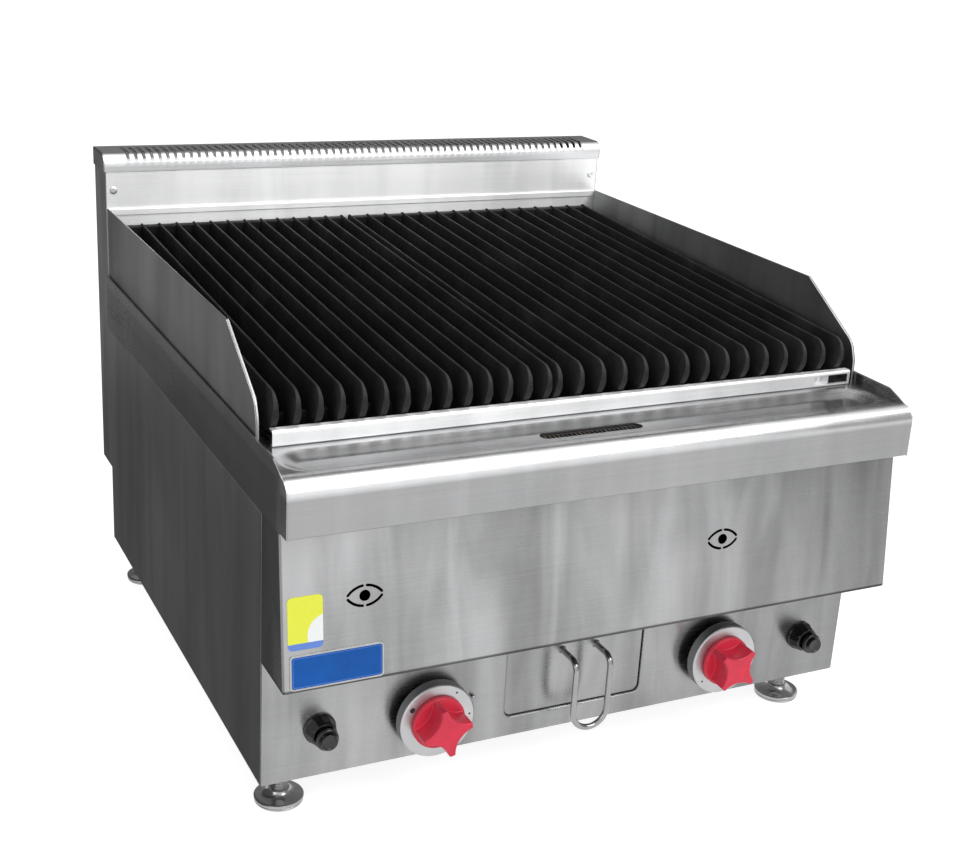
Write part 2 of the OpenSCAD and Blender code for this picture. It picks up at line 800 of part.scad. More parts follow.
module gas_inlet() {
    y0 = body_back_y - 26;
    color(BRASS) difference() {
        union() {
            for (hex = [[y0, 14], [body_back_y + 4, 12]]) translate([supply_x, hex[0], inlet_z])
                rotate([-90, 0, 0]) cylinder(h = hex[1], r = 15, $fn = 6);
            rod_y(supply_x, y0 + 14, body_back_y + 4, inlet_z, supply_r + 1.5);
            rod_y(supply_x, body_back_y + 16, body_back_y + 36, inlet_z, thread_r);
        }
        rod_y(supply_x, y0 + 14, body_back_y + 37, inlet_z, 7.5);
    }
}

module tap_body(side) {
    y0 = control_y + sheet;
    y1 = supply_y + 10;
    color(BRASS) translate([tap_x(side), 0, tap_z(side)]) difference() {
        union() {
            rod_y(0, y0, y0 + 10, 0, 10);
            rod_y(0, y0 + 10, y1, 0, 15);
            rod_z(0, supply_y, 0, 17, 9);
            rod_x(0, riser_x - 4, riser_y, 0, 6.5);
            rod_y(-6, y1, y1 + 4, 0, 4);
        }
        rod_y(0, y0 - cut, y0 + 11, 0, spindle_r + gap);
        rod_y(0, y0 + 10, y1 - 4, 0, plug_r + running);
    }
}
module tap_body_left() tap_body(-1);
module tap_body_right() tap_body(1);

module tap_plug(side) {
    y0 = control_y + sheet + 10 + gap;
    y1 = supply_y + 6 - gap;
    color(BRASS) translate([tap_x(side), 0, tap_z(side)]) difference() {
        rod_y(0, y0, y1, 0, plug_r);
        rod_y(0, y0 - cut, y1 - 3, 0, spindle_r + running);
        rod_x(0, plug_r + cut, riser_y, 0, 2);
    }
}
module tap_plug_left() tap_plug(-1);
module tap_plug_right() tap_plug(1);

module spindle(side) {
    y1 = supply_y + 6 - gap - 3 - knob_push - 1;
    color(STEEL) rod_y(tap_x(side), grip_front_y + 9, y1, tap_z(side), spindle_r);
}
module spindle_left() spindle(-1);
module spindle_right() spindle(1);

// Places children on a tap's axis so that their Z runs to the back, turned anticlockwise as seen from the front
module facing_back(side, turn) {
    translate([tap_x(side), dial_front_y, tap_z(side)]) rotate([0, -turn, 0]) rotate([-90, 0, 0]) children();
}

// Dial with a bevelled rim and a boss behind it; marks are drilled round its face
module dial(side, turn) {
    r = dial_d / 2;
    chamfer = 1.2;
    face_r = r - chamfer;
    face_t = 3;
    depth = dial_back_y - dial_front_y;
    boss_r = 9;
    mark_r = r - 6;
    mark_depth = 0.5;
    color(STEEL) facing_back(side, turn) difference() {
        union() {
            difference() {
                union() {
                    cylinder(h = chamfer, r1 = face_r, r2 = r);
                    translate([0, 0, chamfer]) cylinder(h = depth - chamfer, r = r);
                }
                translate([0, 0, face_t]) cylinder(h = depth, r = face_r - 1.5);
            }
            translate([0, 0, face_t - 0.5]) cylinder(h = 7.5, r = boss_r);
        }
        translate([0, 0, -cut]) cylinder(h = depth, r = spindle_r);
        rotate([0, 0, -148]) translate([mark_r, 0, mark_depth - 3]) cylinder(h = 3, r = 2.6);
        for (a = [-56, -3])
            rotate([0, 0, a]) translate([mark_r + 1, 0, mark_depth - 3]) cylinder(h = 3, r = 1);
    }
}
module dial_left() dial(-1, 0);
module dial_right() dial(1, 216);

// A round base with a four-cornered grip whose sides are scooped
module grip(side, turn) {
    base_r = 24.5;
    corner_r = 23;
    side_r = 13;
    base_t = 4;
    h = dial_front_y - grip_front_y;
    scoop_r = 22;
    color(RED) translate([tap_x(side), dial_front_y, tap_z(side)])
        rotate([0, -turn, 0]) rotate([90, 0, 0]) difference() {
        union() {
            cylinder(h = base_t, r = base_r);
            translate([0, 0, base_t]) linear_extrude(height = h - base_t) difference() {
                circle(r = corner_r);
                for (a = [45 : 90 : 315])
                    rotate(a) translate([side_r + scoop_r, 0]) circle(r = scoop_r);
            }
        }
        translate([0, 0, -cut]) cylinder(h = h - 9 + cut, r = spindle_r);
    }
}
module grip_left() grip(-1, 12);
module grip_right() grip(1, 48);

module index_pins() {
    pin_z = 86.5;
    color(STEEL) for (side = [-1, 1]) {
        rod_y(side * burner_x + 45, control_y - 2.5, control_y, pin_z, 1.8);
        translate([side * burner_x + 45, control_y - 2.5, pin_z]) sphere(r = 1.8);
    }
}

module gas_pipes() {
    color(BRASS) for (side = [-1, 1])
        pipe([[tap_x(side) + riser_x - 4, riser_y, tap_z(side)],
              [tap_x(side) + riser_x + 4, riser_y, tap_z(side)],
              [tap_x(side) + riser_x + 4, riser_y, burner_z],
              [side * burner_x + 12, riser_y, burner_z]], 4);
}

module injectors() {
    color(BRASS) for (side = [-1, 1]) {
        rod_y(side * burner_x, riser_y - 7, riser_y + 6, burner_z, 8);
        rod_y(side * burner_x, riser_y + 6, riser_y + 9, burner_z, 4);
        rod_x(side * burner_x, side * burner_x + 12, riser_y, burner_z, 5.5);
    }
}

module pilots() {
    z0 = 200;
    color(STEEL) for (x = [sight_left_x, sight_right_x]) difference() {
        union() {
            block([x - 16, fire_front_y + sheet, z0 - 2], [x + 16, pilot_y + 8, z0]);
            rod_z(x, pilot_y, z0, z0 + 34, 5);
            rod_z(x, pilot_y, z0 + 34, z0 + 38, 3.5);
        }
        rod_y(x, pilot_y, pilot_y + 10, z0 + 28, 2);
    }
}

module pilot_pipes() {
    y0 = supply_y + 14;
    color(BRASS) for (side = [-1, 1])
        pipe([[tap_x(side) - 6, y0, tap_z(side)], [tap_x(side) - 6, pilot_y, tap_z(side)],
              [pilot_x(side), pilot_y, tap_z(side)], [pilot_x(side), pilot_y, 198]], 2);
}

module thermocouples() {
    y0 = supply_y + 10;
    color(STEEL) for (side = [-1, 1]) {
        lead_z = tap_z(side) + 4.5;
        pipe([[tap_x(side) + 6, y0, lead_z], [tap_x(side) + 6, pilot_y, lead_z],
              [pilot_x(side) + 11, pilot_y, lead_z], [pilot_x(side) + 11, pilot_y, 198]], 1);
        rod_z(pilot_x(side) + 11, pilot_y, 200, 234, 2.5);
    }
}

module electrodes() {
    color(WHITE) for (x = [sight_left_x, sight_right_x]) {
        rod_z(x - 11, pilot_y, 200, 222, 3.5);
        rod_z(x - 11, pilot_y, 222, 236, 1);
    }
}

module ignition_leads() {
    y0 = control_y + 41;
    y1 = pilot_y - 5;
    z1 = 104;
    color(BLACK) for (side = [-1, 1])
        pipe([[igniter_x(side), y0, igniter_z], [igniter_x(side), y1, igniter_z], [igniter_x(side), y1, z1],
              [pilot_x(side) - 11, y1, z1], [pilot_x(side) - 11, y1, 198]], 1.8);
}

// Piezo body: a conical collar outside the panel and a barrel behind it
module igniter_body(side) {
    collar_h = 14;
    well = 8;
    color(BLACK) translate([igniter_x(side), control_y, igniter_z]) difference() {
        union() {
            rotate([90, 0, 0]) {
                cylinder(h = 3, r = 14.4);
                translate([0, 0, 3]) cylinder(h = 10, r1 = 14, r2 = 11.6);
                translate([0, 0, 13]) cylinder(h = collar_h - 13, r = 11);
            }
            rod_y(0, 0, 41, 0, 10);
        }
        rod_y(0, -cut - collar_h, well, 0, 8 + gap);
    }
}
module igniter_body_left() igniter_body(-1);
module igniter_body_right() igniter_body(1);

module igniter_button(side) {
    stem_back = -3;
    color(BLACK) translate([igniter_x(side), control_y, igniter_z]) rotate([90, 0, 0]) {
        translate([0, 0, stem_back]) cylinder(h = 18.5 - stem_back, r = 8);
        translate([0, 0, 18.5]) cylinder(h = 3, r = 10);
        translate([0, 0, 21.5]) cylinder(h = 4.5, r1 = 8.6, r2 = 7.4);
    }
}
module igniter_button_left() igniter_button(-1);
module igniter_button_right() igniter_button(1);

// ---------------------------------------------------------------- drawer

module drawer_front() {
    clear = 0.65;
    y0 = control_y + 2.5;
    color(STEEL) along_y(y0, y0 + 1.5) rounded_bottom(-drawer_w / 2 + clear, drawer_w / 2 - clear,
        drawer_z + clear, drawer_top_z - clear, 6.4);
}

module drawer_tray() {
    half = drawer_w / 2 - 3;
    y0 = control_y + 4;
    z0 = drawer_z + 2;
    z1 = drawer_top_z - 6;
    color(STEEL) difference() {
        block([-half, y0, z0], [half, y0 + tray_d, z1]);
        block([-half + sheet, y0 + sheet, z0 + sheet], [half - sheet, y0 + tray_d - sheet, z1 + cut]);
    }
}

// A bent rod: two stubs out of the drawer face, two legs down, and a round loop
module drawer_handle() {
    r = 2.8;
    half = 17.5;
    x0 = 3;
    bend = 10;
    face_y = control_y + 2.5;
    leg_y = face_y - 28;
    top_z = 114;
    loop_z = 63.5;
    color(STEEL) translate([x0, 0, 0]) {
        for (x = [-half, half]) {
            rod_y(x, leg_y + bend, face_y, top_z, r);
            rod_z(x, leg_y, loop_z, top_z - bend, r);
            translate([x, leg_y + bend, top_z - bend]) rotate([0, -90, 180]) elbow(bend, r);
        }
        translate([0, leg_y, loop_z]) rotate([-90, 0, 0])
            rotate_extrude(angle = 180) translate([half, 0]) circle(r = r);
    }
}

module drawer_runners() {
    y0 = control_y + 9;
    y1 = y0 + tray_d + 20;
    ledge_top = drawer_z + 1.7;
    half = drawer_w / 2;
    color(DARK_STEEL) for (side = [-1, 1]) {
        x0 = side > 0 ? half : -half - sheet;
        x1 = side > 0 ? half - 11 : -half;
        block([x0, y0, floor_gap + sheet], [x0 + sheet, y1, 100]);
        block([x1, y0, ledge_top - sheet], [x1 + 11, y1, ledge_top]);
    }
}

// ---------------------------------------------------------------- feet and trim

module foot(x, y) {
    shoulder_z = floor_gap - gap;
    color(STEEL) translate([x, y, 0]) {
        cylinder(h = 6, r = 22);
        translate([0, 0, 6]) cylinder(h = 6, r1 = 22, r2 = 9);
        translate([0, 0, 12]) cylinder(h = shoulder_z - 12, r = 7.5);
        translate([0, 0, shoulder_z]) cylinder(h = 24, r = stem_r);
    }
}
module foot_front_left() foot(foot_left_x, foot_front_y);
module foot_front_right() foot(foot_right_x, foot_front_y);
module foot_rear_left() foot(foot_left_x, foot_rear_y);
module foot_rear_right() foot(foot_right_x, foot_rear_y);

module badge_plate() {
    color(BLUE) on_front_panel() translate([-254, 0, -117.2])
        along_y(-1, 0) {
            translate([-40, -12]) square([80, 24]);
            translate([-37, -15]) square([74, 30]);
            for (x = [-37, 37], z = [-12, 12]) translate([x, z]) circle(r = 3);
        }
}

module label_plate() {
    color(YELLOW) on_front_panel() translate([-280.2, 0, -75.8])
        along_y(-0.3, 0) translate([-14.7, -22.3]) square([29.4, 44.6]);
}

module screw_y(x, y, z, direction) {
    r = 4;
    h = 0.9;
    color(STEEL) rod_y(x, direction > 0 ? y : y - h, direction > 0 ? y + h : y, z, r);
}

module screws() {
    for (x = [-290, 290]) screw_y(x, body_back_y, 436, -1);
    for (x = [-280, -140, 0, 140, 280], z = [135, 440]) screw_y(x, back_y - cap_t, z, 1);
    for (x = [-285, 285], z = [50, 108]) screw_y(x, body_back_y, z, 1);
    screw_y(256, front_y + 84.8, deck_z + 7, -1);
    color(STEEL) for (x = [-270, 270]) rod_z(x, control_y - 30, front_panel_z - 1, front_panel_z, 4);
}

base_pan();
side_panel_left();
side_panel_right();
rear_panel();
control_panel();
front_panel();
top_frame();
drain_strainer();
front_strip();
side_guard_left();
side_guard_right();
rear_guard();
flue_box();
flue_cap();
firebox();
firebox_rim();
firebox_ledges();
grate_rests();
grease_pan();
burner_left();
burner_right();
radiant_left();
radiant_right();
grate_left();
grate_right();
gas_manifold();
gas_inlet();
tap_body_left();
tap_body_right();
tap_plug_left();
tap_plug_right();
spindle_left();
spindle_right();
dial_left();
dial_right();
grip_left();
grip_right();
index_pins();
gas_pipes();
injectors();
pilots();
pilot_pipes();
thermocouples();
electrodes();
ignition_leads();
igniter_body_left();
igniter_body_right();
igniter_button_left();
igniter_button_right();
drawer_tray();
drawer_front();
drawer_handle();
drawer_runners();
foot_front_left();
foot_front_right();
foot_rear_left();
foot_rear_right();
badge_plate();
label_plate();
screws();
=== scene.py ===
import json
from math import acos, atan2, cos, pi, radians, sin, sqrt, tan

import bmesh
import bpy
from mathutils import Matrix, Vector

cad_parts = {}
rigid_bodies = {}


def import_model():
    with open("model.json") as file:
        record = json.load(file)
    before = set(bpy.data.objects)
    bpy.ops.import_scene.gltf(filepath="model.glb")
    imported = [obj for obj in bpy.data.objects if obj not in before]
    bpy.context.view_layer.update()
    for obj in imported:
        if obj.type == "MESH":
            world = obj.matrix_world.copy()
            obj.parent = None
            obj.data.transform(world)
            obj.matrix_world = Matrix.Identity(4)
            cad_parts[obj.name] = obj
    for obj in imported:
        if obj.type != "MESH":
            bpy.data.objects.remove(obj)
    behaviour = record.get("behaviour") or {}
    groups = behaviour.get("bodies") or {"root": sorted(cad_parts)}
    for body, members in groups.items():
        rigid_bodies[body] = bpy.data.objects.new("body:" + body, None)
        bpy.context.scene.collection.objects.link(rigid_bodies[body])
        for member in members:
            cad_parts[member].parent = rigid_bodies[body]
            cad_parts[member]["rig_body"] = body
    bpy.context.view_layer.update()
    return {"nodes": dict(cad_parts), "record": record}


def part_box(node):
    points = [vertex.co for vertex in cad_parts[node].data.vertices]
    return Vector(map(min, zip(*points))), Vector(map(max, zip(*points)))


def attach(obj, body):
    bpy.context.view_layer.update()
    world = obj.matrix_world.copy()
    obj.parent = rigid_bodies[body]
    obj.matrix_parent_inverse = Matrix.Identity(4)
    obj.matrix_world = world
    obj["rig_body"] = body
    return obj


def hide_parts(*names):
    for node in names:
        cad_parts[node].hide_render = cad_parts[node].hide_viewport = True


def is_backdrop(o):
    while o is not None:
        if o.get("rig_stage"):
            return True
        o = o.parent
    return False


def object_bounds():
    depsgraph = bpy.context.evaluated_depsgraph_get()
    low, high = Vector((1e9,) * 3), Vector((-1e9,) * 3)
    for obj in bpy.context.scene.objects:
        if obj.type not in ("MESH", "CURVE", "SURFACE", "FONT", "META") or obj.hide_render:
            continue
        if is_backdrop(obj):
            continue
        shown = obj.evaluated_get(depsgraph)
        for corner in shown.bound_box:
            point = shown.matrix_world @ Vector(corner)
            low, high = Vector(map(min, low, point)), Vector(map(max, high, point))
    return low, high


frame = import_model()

bl_info = {
    "name": "Charbroiler Grill",
    "version": (1, 0, 0),
    "blender": (4, 5, 0),
    "location": "3D View > Sidebar > Grill",
    "description": "Builds the pieces, finishes and stage of a two-burner gas charbroiler",
    "category": "Add Mesh",
}

MM = 0.001

# Vertices closer than this are one, in metres
MERGE = 2e-6

# The body that each CAD node is on and the material slot that it has
BODY = {node: item["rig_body"] for node, item in frame["nodes"].items()}
SLOT = {part["node"]: part["material_slot"] for part in frame["record"]["subparts"]}

# The depth of a section goes along the named axis, its own X and Y along the other two in their order
ALONG_X = Matrix(((0, 0, 1, 0), (1, 0, 0, 0), (0, 1, 0, 0), (0, 0, 0, 1)))
ALONG_Y = Matrix(((1, 0, 0, 0), (0, 0, 1, 0), (0, 1, 0, 0), (0, 0, 0, 1)))
ALONG_Z = Matrix.Identity(4)

# Local Z of a turned part points to the front
FRONTWARD = Matrix.Rotation(pi / 2, 4, "X")

SIDES = ("left", "right")

# The leaning front panel's upper edge is this far behind its lower edge
LEAN = 13.5


# ---------------- shapes, in millimetres

def corners(node):
    """Lowest and highest corners of a CAD node"""
    low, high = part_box(node)
    return low / MM, high / MM


def middle(node):
    low, high = corners(node)
    return (low + high) / 2


def at(x, y, z, turn=ALONG_Z):
    """Placement of a shape that is drawn round its own origin"""
    return Matrix.Translation((x, y, z)) @ turn


def arc(centre, radius, start, end, steps=8):
    turns = [radians(start + (end - start) * i / steps) for i in range(steps + 1)]
    return [(centre[0] + radius * cos(t), centre[1] + radius * sin(t)) for t in turns]


def rounded(points, radius, steps=6, closed=True):
    """The same line with each corner turned to an arc; radius may be a list"""
    out = []
    for i, point in enumerate(points):
        r = radius[i] if isinstance(radius, (list, tuple)) else radius
        here = Vector(point)
        if r <= 0 or (not closed and i in (0, len(points) - 1)):
            out.append(tuple(here))
            continue
        a = Vector(points[i - 1]) - here
        b = Vector(points[(i + 1) % len(points)]) - here
        room = min(a.length, b.length) * 0.49
        a.normalize()
        b.normalize()
        half = acos(max(-1, min(1, a.dot(b)))) / 2
        if half > radians(89):
            out.append(tuple(here))
            continue
        cut = min(r / tan(half), room)
        r = cut * tan(half)
        centre = here + (a + b).normalized() * (r / sin(half))
        first, last = here + a * cut - centre, here + b * cut - centre
        start = atan2(first.y, first.x)
        sweep = (atan2(last.y, last.x) - start + pi) % (2 * pi) - pi
        out += [(centre.x + r * cos(start + sweep * k / steps),
                 centre.y + r * sin(start + sweep * k / steps)) for k in range(steps + 1)]
    return out


def beside(points, shift, closed=False):
    """The line moved sideways by shift, to its left"""
    points = [Vector(p) for p in points]
    out = []
    for i, p in enumerate(points):
        before = points[i - 1] if closed or i else None
        after = points[(i + 1) % len(points)] if closed or i < len(points) - 1 else None
        normals = []
        for a, b in ((before, p), (p, after)):
            if a is not None and b is not None and (b - a).length > 1e-6:
                d = (b - a).normalized()
                normals.append(Vector((-d.y, d.x)))
        n = normals[0] if len(normals) == 1 else (normals[0] + normals[1]) / max(
            0.3, 1 + normals[0].dot(normals[1]))
        out.append(tuple(p + n * shift))
    return out


def front_round(front, top, r, step, start=0):
    """Quarter round from an upright front to a flat top"""
    return [(front + r - r * cos(radians(a)), top - r + r * sin(radians(a))) for a in range(start, 91, step)]


def strip(points, thickness):
    """Section of a folded sheet whose middle follows the line"""
    return beside(points, thickness / 2) + beside(points, -thickness / 2)[::-1]


def box_outline(x0, x1, y0, y1, radius=0, steps=6):
    return rounded([(x0, y0), (x1, y0), (x1, y1), (x0, y1)], radius, steps)


def slot_outline(x, y, half, radius, steps=10):
    """A bar with round ends, along the first axis"""
    return arc((x + half, y), radius, -90, 90, steps) + arc((x - half, y), radius, 90, 270, steps)


def ring(outline, depth, place):
    """The outline at one depth of a placed shape"""
    return [place @ Vector((u, v, depth)) for u, v in outline]


def loft(bm, rings, joined=False, lines=False):
    """Skins ring after ring; joined closes the last to the first, lines leaves each ring open"""
    rows = [[bm.verts.new(p) for p in points] for points in rings]
    count = len(rows[0])
    for i in range(len(rows) if joined else len(rows) - 1):
        a, b = rows[i], rows[(i + 1) % len(rows)]
        for j in range(count - 1 if lines else count):
            k = (j + 1) % count
            bm.faces.new((a[j], a[k], b[k], b[j]))
    if not joined and not lines:
        bm.faces.new(rows[0][::-1])
        bm.faces.new(rows[-1])


def push(bm, outline, depth0, depth1, place=ALONG_Z):
    """A solid with that outline between two depths"""
    loft(bm, [ring(outline, depth, place) for depth in (depth0, depth1)])


def turned(bm, profile, place=ALONG_Z, steps=72, closed=False):
    """A turned solid; the profile is (radius, height)"""
    rings = []
    for i in range(steps):
        t = 2 * pi * i / steps
        rings.append([place @ Vector((r * cos(t), r * sin(t), h)) for r, h in profile])
    loft(bm, rings, joined=True, lines=not closed)


def rod(bm, path, radius, steps):
    """A round bar that follows the path"""
    path = [Vector(p) for p in path]
    normal = None
    rings = []
    for i, p in enumerate(path):
        ahead = path[min(i + 1, len(path) - 1)] - path[max(i - 1, 0)]
        ahead.normalize()
        if normal is None:
            normal = ahead.orthogonal().normalized()
        normal = (normal - ahead * normal.dot(ahead)).normalized()
        side = ahead.cross(normal)
        rings.append([p + (normal * cos(2 * pi * k / steps) + side * sin(2 * pi * k / steps)) * radius
                      for k in range(steps)])
    loft(bm, rings)


def new_object(name, data):
    """An object in the scene's own collection"""
    item = bpy.data.objects.new(name, data)
    bpy.context.scene.collection.objects.link(item)
    return item


def evaluated_mesh(item):
    """The item's mesh with its modifiers or curve settings in it"""
    bpy.context.view_layer.update()
    return bpy.data.meshes.new_from_object(item.evaluated_get(bpy.context.evaluated_depsgraph_get()))


def mesh_of(name, bm):
    """Turns the shape into a mesh and frees it"""
    mesh = bpy.data.meshes.new(name)
    bm.to_mesh(mesh)
    bm.free()
    return mesh


def pour(bm, mesh):
    """Adds the mesh to the shape and removes it"""
    bm.from_mesh(mesh)
    bpy.data.meshes.remove(mesh)


def plate(bm, outlines, thickness, place=ALONG_Z, edge=0.25):
    """A flat sheet with eased edges, its middle at depth 0; the first outline is the outer one"""
    curve = bpy.data.curves.new("outline", "CURVE")
    curve.dimensions = "2D"
    curve.fill_mode = "BOTH"
    for outline in outlines:
        line = curve.splines.new("POLY")
        line.points.add(len(outline) - 1)
        for point, (x, y) in zip(line.points, outline):
            point.co = (x, y, 0, 1)
        line.use_cyclic_u = True
    curve.extrude = thickness / 2 - edge
    curve.bevel_depth = edge
    curve.bevel_resolution = 1
    curve.offset = -edge
    shape = new_object("outline", curve)
    mesh = evaluated_mesh(shape)
    mesh.transform(place)
    pour(bm, mesh)
    bpy.data.objects.remove(shape)
    bpy.data.curves.remove(curve)


def loose_object(name, bm):
    """An object that is only there to be worked on"""
    bmesh.ops.remove_doubles(bm, verts=bm.verts, dist=MERGE / MM)
    bmesh.ops.recalc_face_normals(bm, faces=bm.faces)
    return new_object(name, mesh_of(name, bm))


def settled(bm, thickness=0, cutter=None):
    """The shape after it is given a thickness on its inner side and the cutter is taken out of it"""
    used = [loose_object("blank", bm)]
    if thickness:
        solid = used[0].modifiers.new("sheet", "SOLIDIFY")
        solid.thickness = thickness
        solid.offset = -1
        solid.use_even_offset = True
    if cutter is not None:
        used.append(loose_object("cutter", cutter))
        cut = used[0].modifiers.new("cut", "BOOLEAN")
        cut.operation = "DIFFERENCE"
        cut.solver = "EXACT"
        cut.object = used[1]
    out = bmesh.new()
    pour(out, evaluated_mesh(used[0]))
    for item in used:
        bpy.data.objects.remove(item)
    return out


def add_piece(name, bm, node, look, edge=0.0, sharp=30, centre=None):
    """Makes the piece that stands for a CAD node, on the node's body and with the given finish.

    With a centre, the shape is drawn round its own origin, which goes there.
    """
    bm.transform(Matrix.Scale(MM, 4))
    bmesh.ops.remove_doubles(bm, verts=bm.verts, dist=MERGE)
    bmesh.ops.dissolve_degenerate(bm, edges=bm.edges, dist=MERGE / 2)
    bmesh.ops.recalc_face_normals(bm, faces=bm.faces)
    mesh = mesh_of(name, bm)
    for polygon in mesh.polygons:
        polygon.use_smooth = True
    mesh.set_sharp_from_angle(angle=radians(sharp))
    mesh.materials.append(finish(look))
    piece = new_object(name, mesh)
    if centre is not None:
        piece.location = centre * MM
    if edge:
        eased = piece.modifiers.new("eased edges", "BEVEL")
        eased.width = edge * MM
        eased.segments = 2
        eased.limit_method = "ANGLE"
        eased.angle_limit = radians(40)
        eased.use_clamp_overlap = True
    even = piece.modifiers.new("even shading", "WEIGHTED_NORMAL")
    even.keep_sharp = True
    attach(piece, BODY[node])
    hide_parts(node)


# ---------------- finishes

class Wiring:
    """The cleared nodes of a material or a world and short ways to wire them"""

    def __init__(self, owner):
        owner.use_nodes = True
        self.tree = owner.node_tree
        self.tree.nodes.clear()

    def add(self, kind, **settings):
        node = self.tree.nodes.new(kind)
        for key, value in settings.items():
            setattr(node, key, value)
        return node

    def join(self, source, target):
        self.tree.links.new(source, target)

    def feed(self, value, target):
        """Joins a socket to the target, or sets the target to a number, a vector or a colour"""
        if isinstance(value, bpy.types.NodeSocket):
            self.join(value, target)
        elif isinstance(value, tuple) and len(target.default_value) == 4:
            target.default_value = (*value, 1)
        else:
            target.default_value = value

    def put(self, kind, output, inputs, **settings):
        """Adds a node, feeds its inputs and gives one of its outputs"""
        node = self.add(kind, **settings)
        for key, value in inputs.items():
            self.feed(value, node.inputs[key])
        return None if output is None else node.outputs[output]


FINISHES = {}


def finish(name):
    if name not in FINISHES:
        raise RuntimeError("mix the finishes before the pieces")
    return FINISHES[name]


class Recipe(Wiring):
    """A material round one principled shader"""

    def __init__(self, name, colour, metallic, roughness, specular=0.5):
        self.name = name
        self.material = bpy.data.materials.new(name)
        super().__init__(self.material)
        out = self.add("ShaderNodeOutputMaterial")
        self.shader = self.add("ShaderNodeBsdfPrincipled")
        self.join(self.shader.outputs["BSDF"], out.inputs["Surface"])
        self.place = self.put("ShaderNodeTexCoord", "Object", {})
        self.set({"Base Color": colour, "Metallic": metallic, "Roughness": roughness,
                  "Specular IOR Level": specular})

    def set(self, inputs):
        for name, value in inputs.items():
            self.feed(value, self.shader.inputs[name])

    def brushed(self, axis, strength):
        """Strokes along one axis, or rings round it"""
        way = self.put("ShaderNodeTangent", 0, {}, direction_type="RADIAL", axis=axis)
        self.set({"Anisotropic": strength, "Tangent": way})

    def axes(self):
        """The place taken apart into X, Y and Z"""
        parts = self.add("ShaderNodeSeparateXYZ")
        self.join(self.place, parts.inputs[0])
        return parts.outputs

    def stretched(self, scale):
        """The place with its own number of repeats per metre on each axis"""
        return self.put("ShaderNodeMapping", "Vector", {"Scale": scale, "Vector": self.place})

    def noise(self, vector, scale, detail, rough, warp=0.0):
        """A noise; the scale is in repeats per metre of an unstretched place"""
        return self.put("ShaderNodeTexNoise", "Fac", {"Vector": vector, "Scale": scale, "Detail": detail,
                                                      "Roughness": rough, "Distortion": warp})

    def cells(self, scale):
        """Distance to the middle of the nearest cell"""
        return self.put("ShaderNodeTexVoronoi", "Distance", {"Vector": self.place, "Scale": scale})

    def spread(self, value, low, high, new_low, new_high):
        """Takes low..high to new_low..new_high"""
        return self.put("ShaderNodeMapRange", "Result",
                        {"Value": value, "From Min": low, "From Max": high, "To Min": new_low,
                         "To Max": new_high}, clamp=True)

    def vary(self, noise, new_low, new_high):
        """Takes the range that most of a noise is in to new_low..new_high"""
        return self.spread(noise, 0.3, 0.7, new_low, new_high)

    def sum(self, a, b, operation="ADD"):
        return self.put("ShaderNodeMath", 0, {0: a, 1: b}, operation=operation)

    def shades(self, value, stops):
        """A colour ramp; stops are (place, colour)"""
        node = self.add("ShaderNodeValToRGB")
        ramp = node.color_ramp
        while len(ramp.elements) < len(stops):
            ramp.elements.new(0.5)
        for element, (place, colour) in zip(ramp.elements, stops):
            element.position = place
            element.color = (*colour, 1)
        self.join(value, node.inputs["Fac"])
        return node.outputs["Color"]

    def blend(self, amount, a, b, mode="MIX"):
        """From a to b; the inputs of a colour mix are 0, 6 and 7 and its output is 2"""
        return self.put("ShaderNodeMix", 2, {0: amount, 6: a, 7: b}, data_type="RGBA", blend_type=mode)

    def relief(self, height, strength, distance, under=None):
        inputs = {"Strength": strength, "Distance": distance, "Height": height}
        if under is not None:
            inputs["Normal"] = under
        return self.put("ShaderNodeBump", "Normal", inputs)

    def even(self, colour, roughness, cloud, tooth, tones, gloss, depth):
        """An even surface: tone and gloss follow one noise and the relief follows another"""
        dark, light = (scaled(colour, tone) for tone in tones)
        self.done(self.shades(cloud, [(0.3, dark), (0.7, light)]),
                  self.vary(cloud, roughness - gloss[0], roughness + gloss[1]),
                  self.relief(tooth, depth, 0.0002))

    def done(self, colour, roughness, normal):
        """Gives the results to the shader and keeps the material under its name"""
        self.set({"Base Color": colour, "Roughness": roughness, "Normal": normal})
        FINISHES[self.name] = self.material


def scaled(colour, factor):
    return tuple(min(1.0, c * factor) for c in colour)


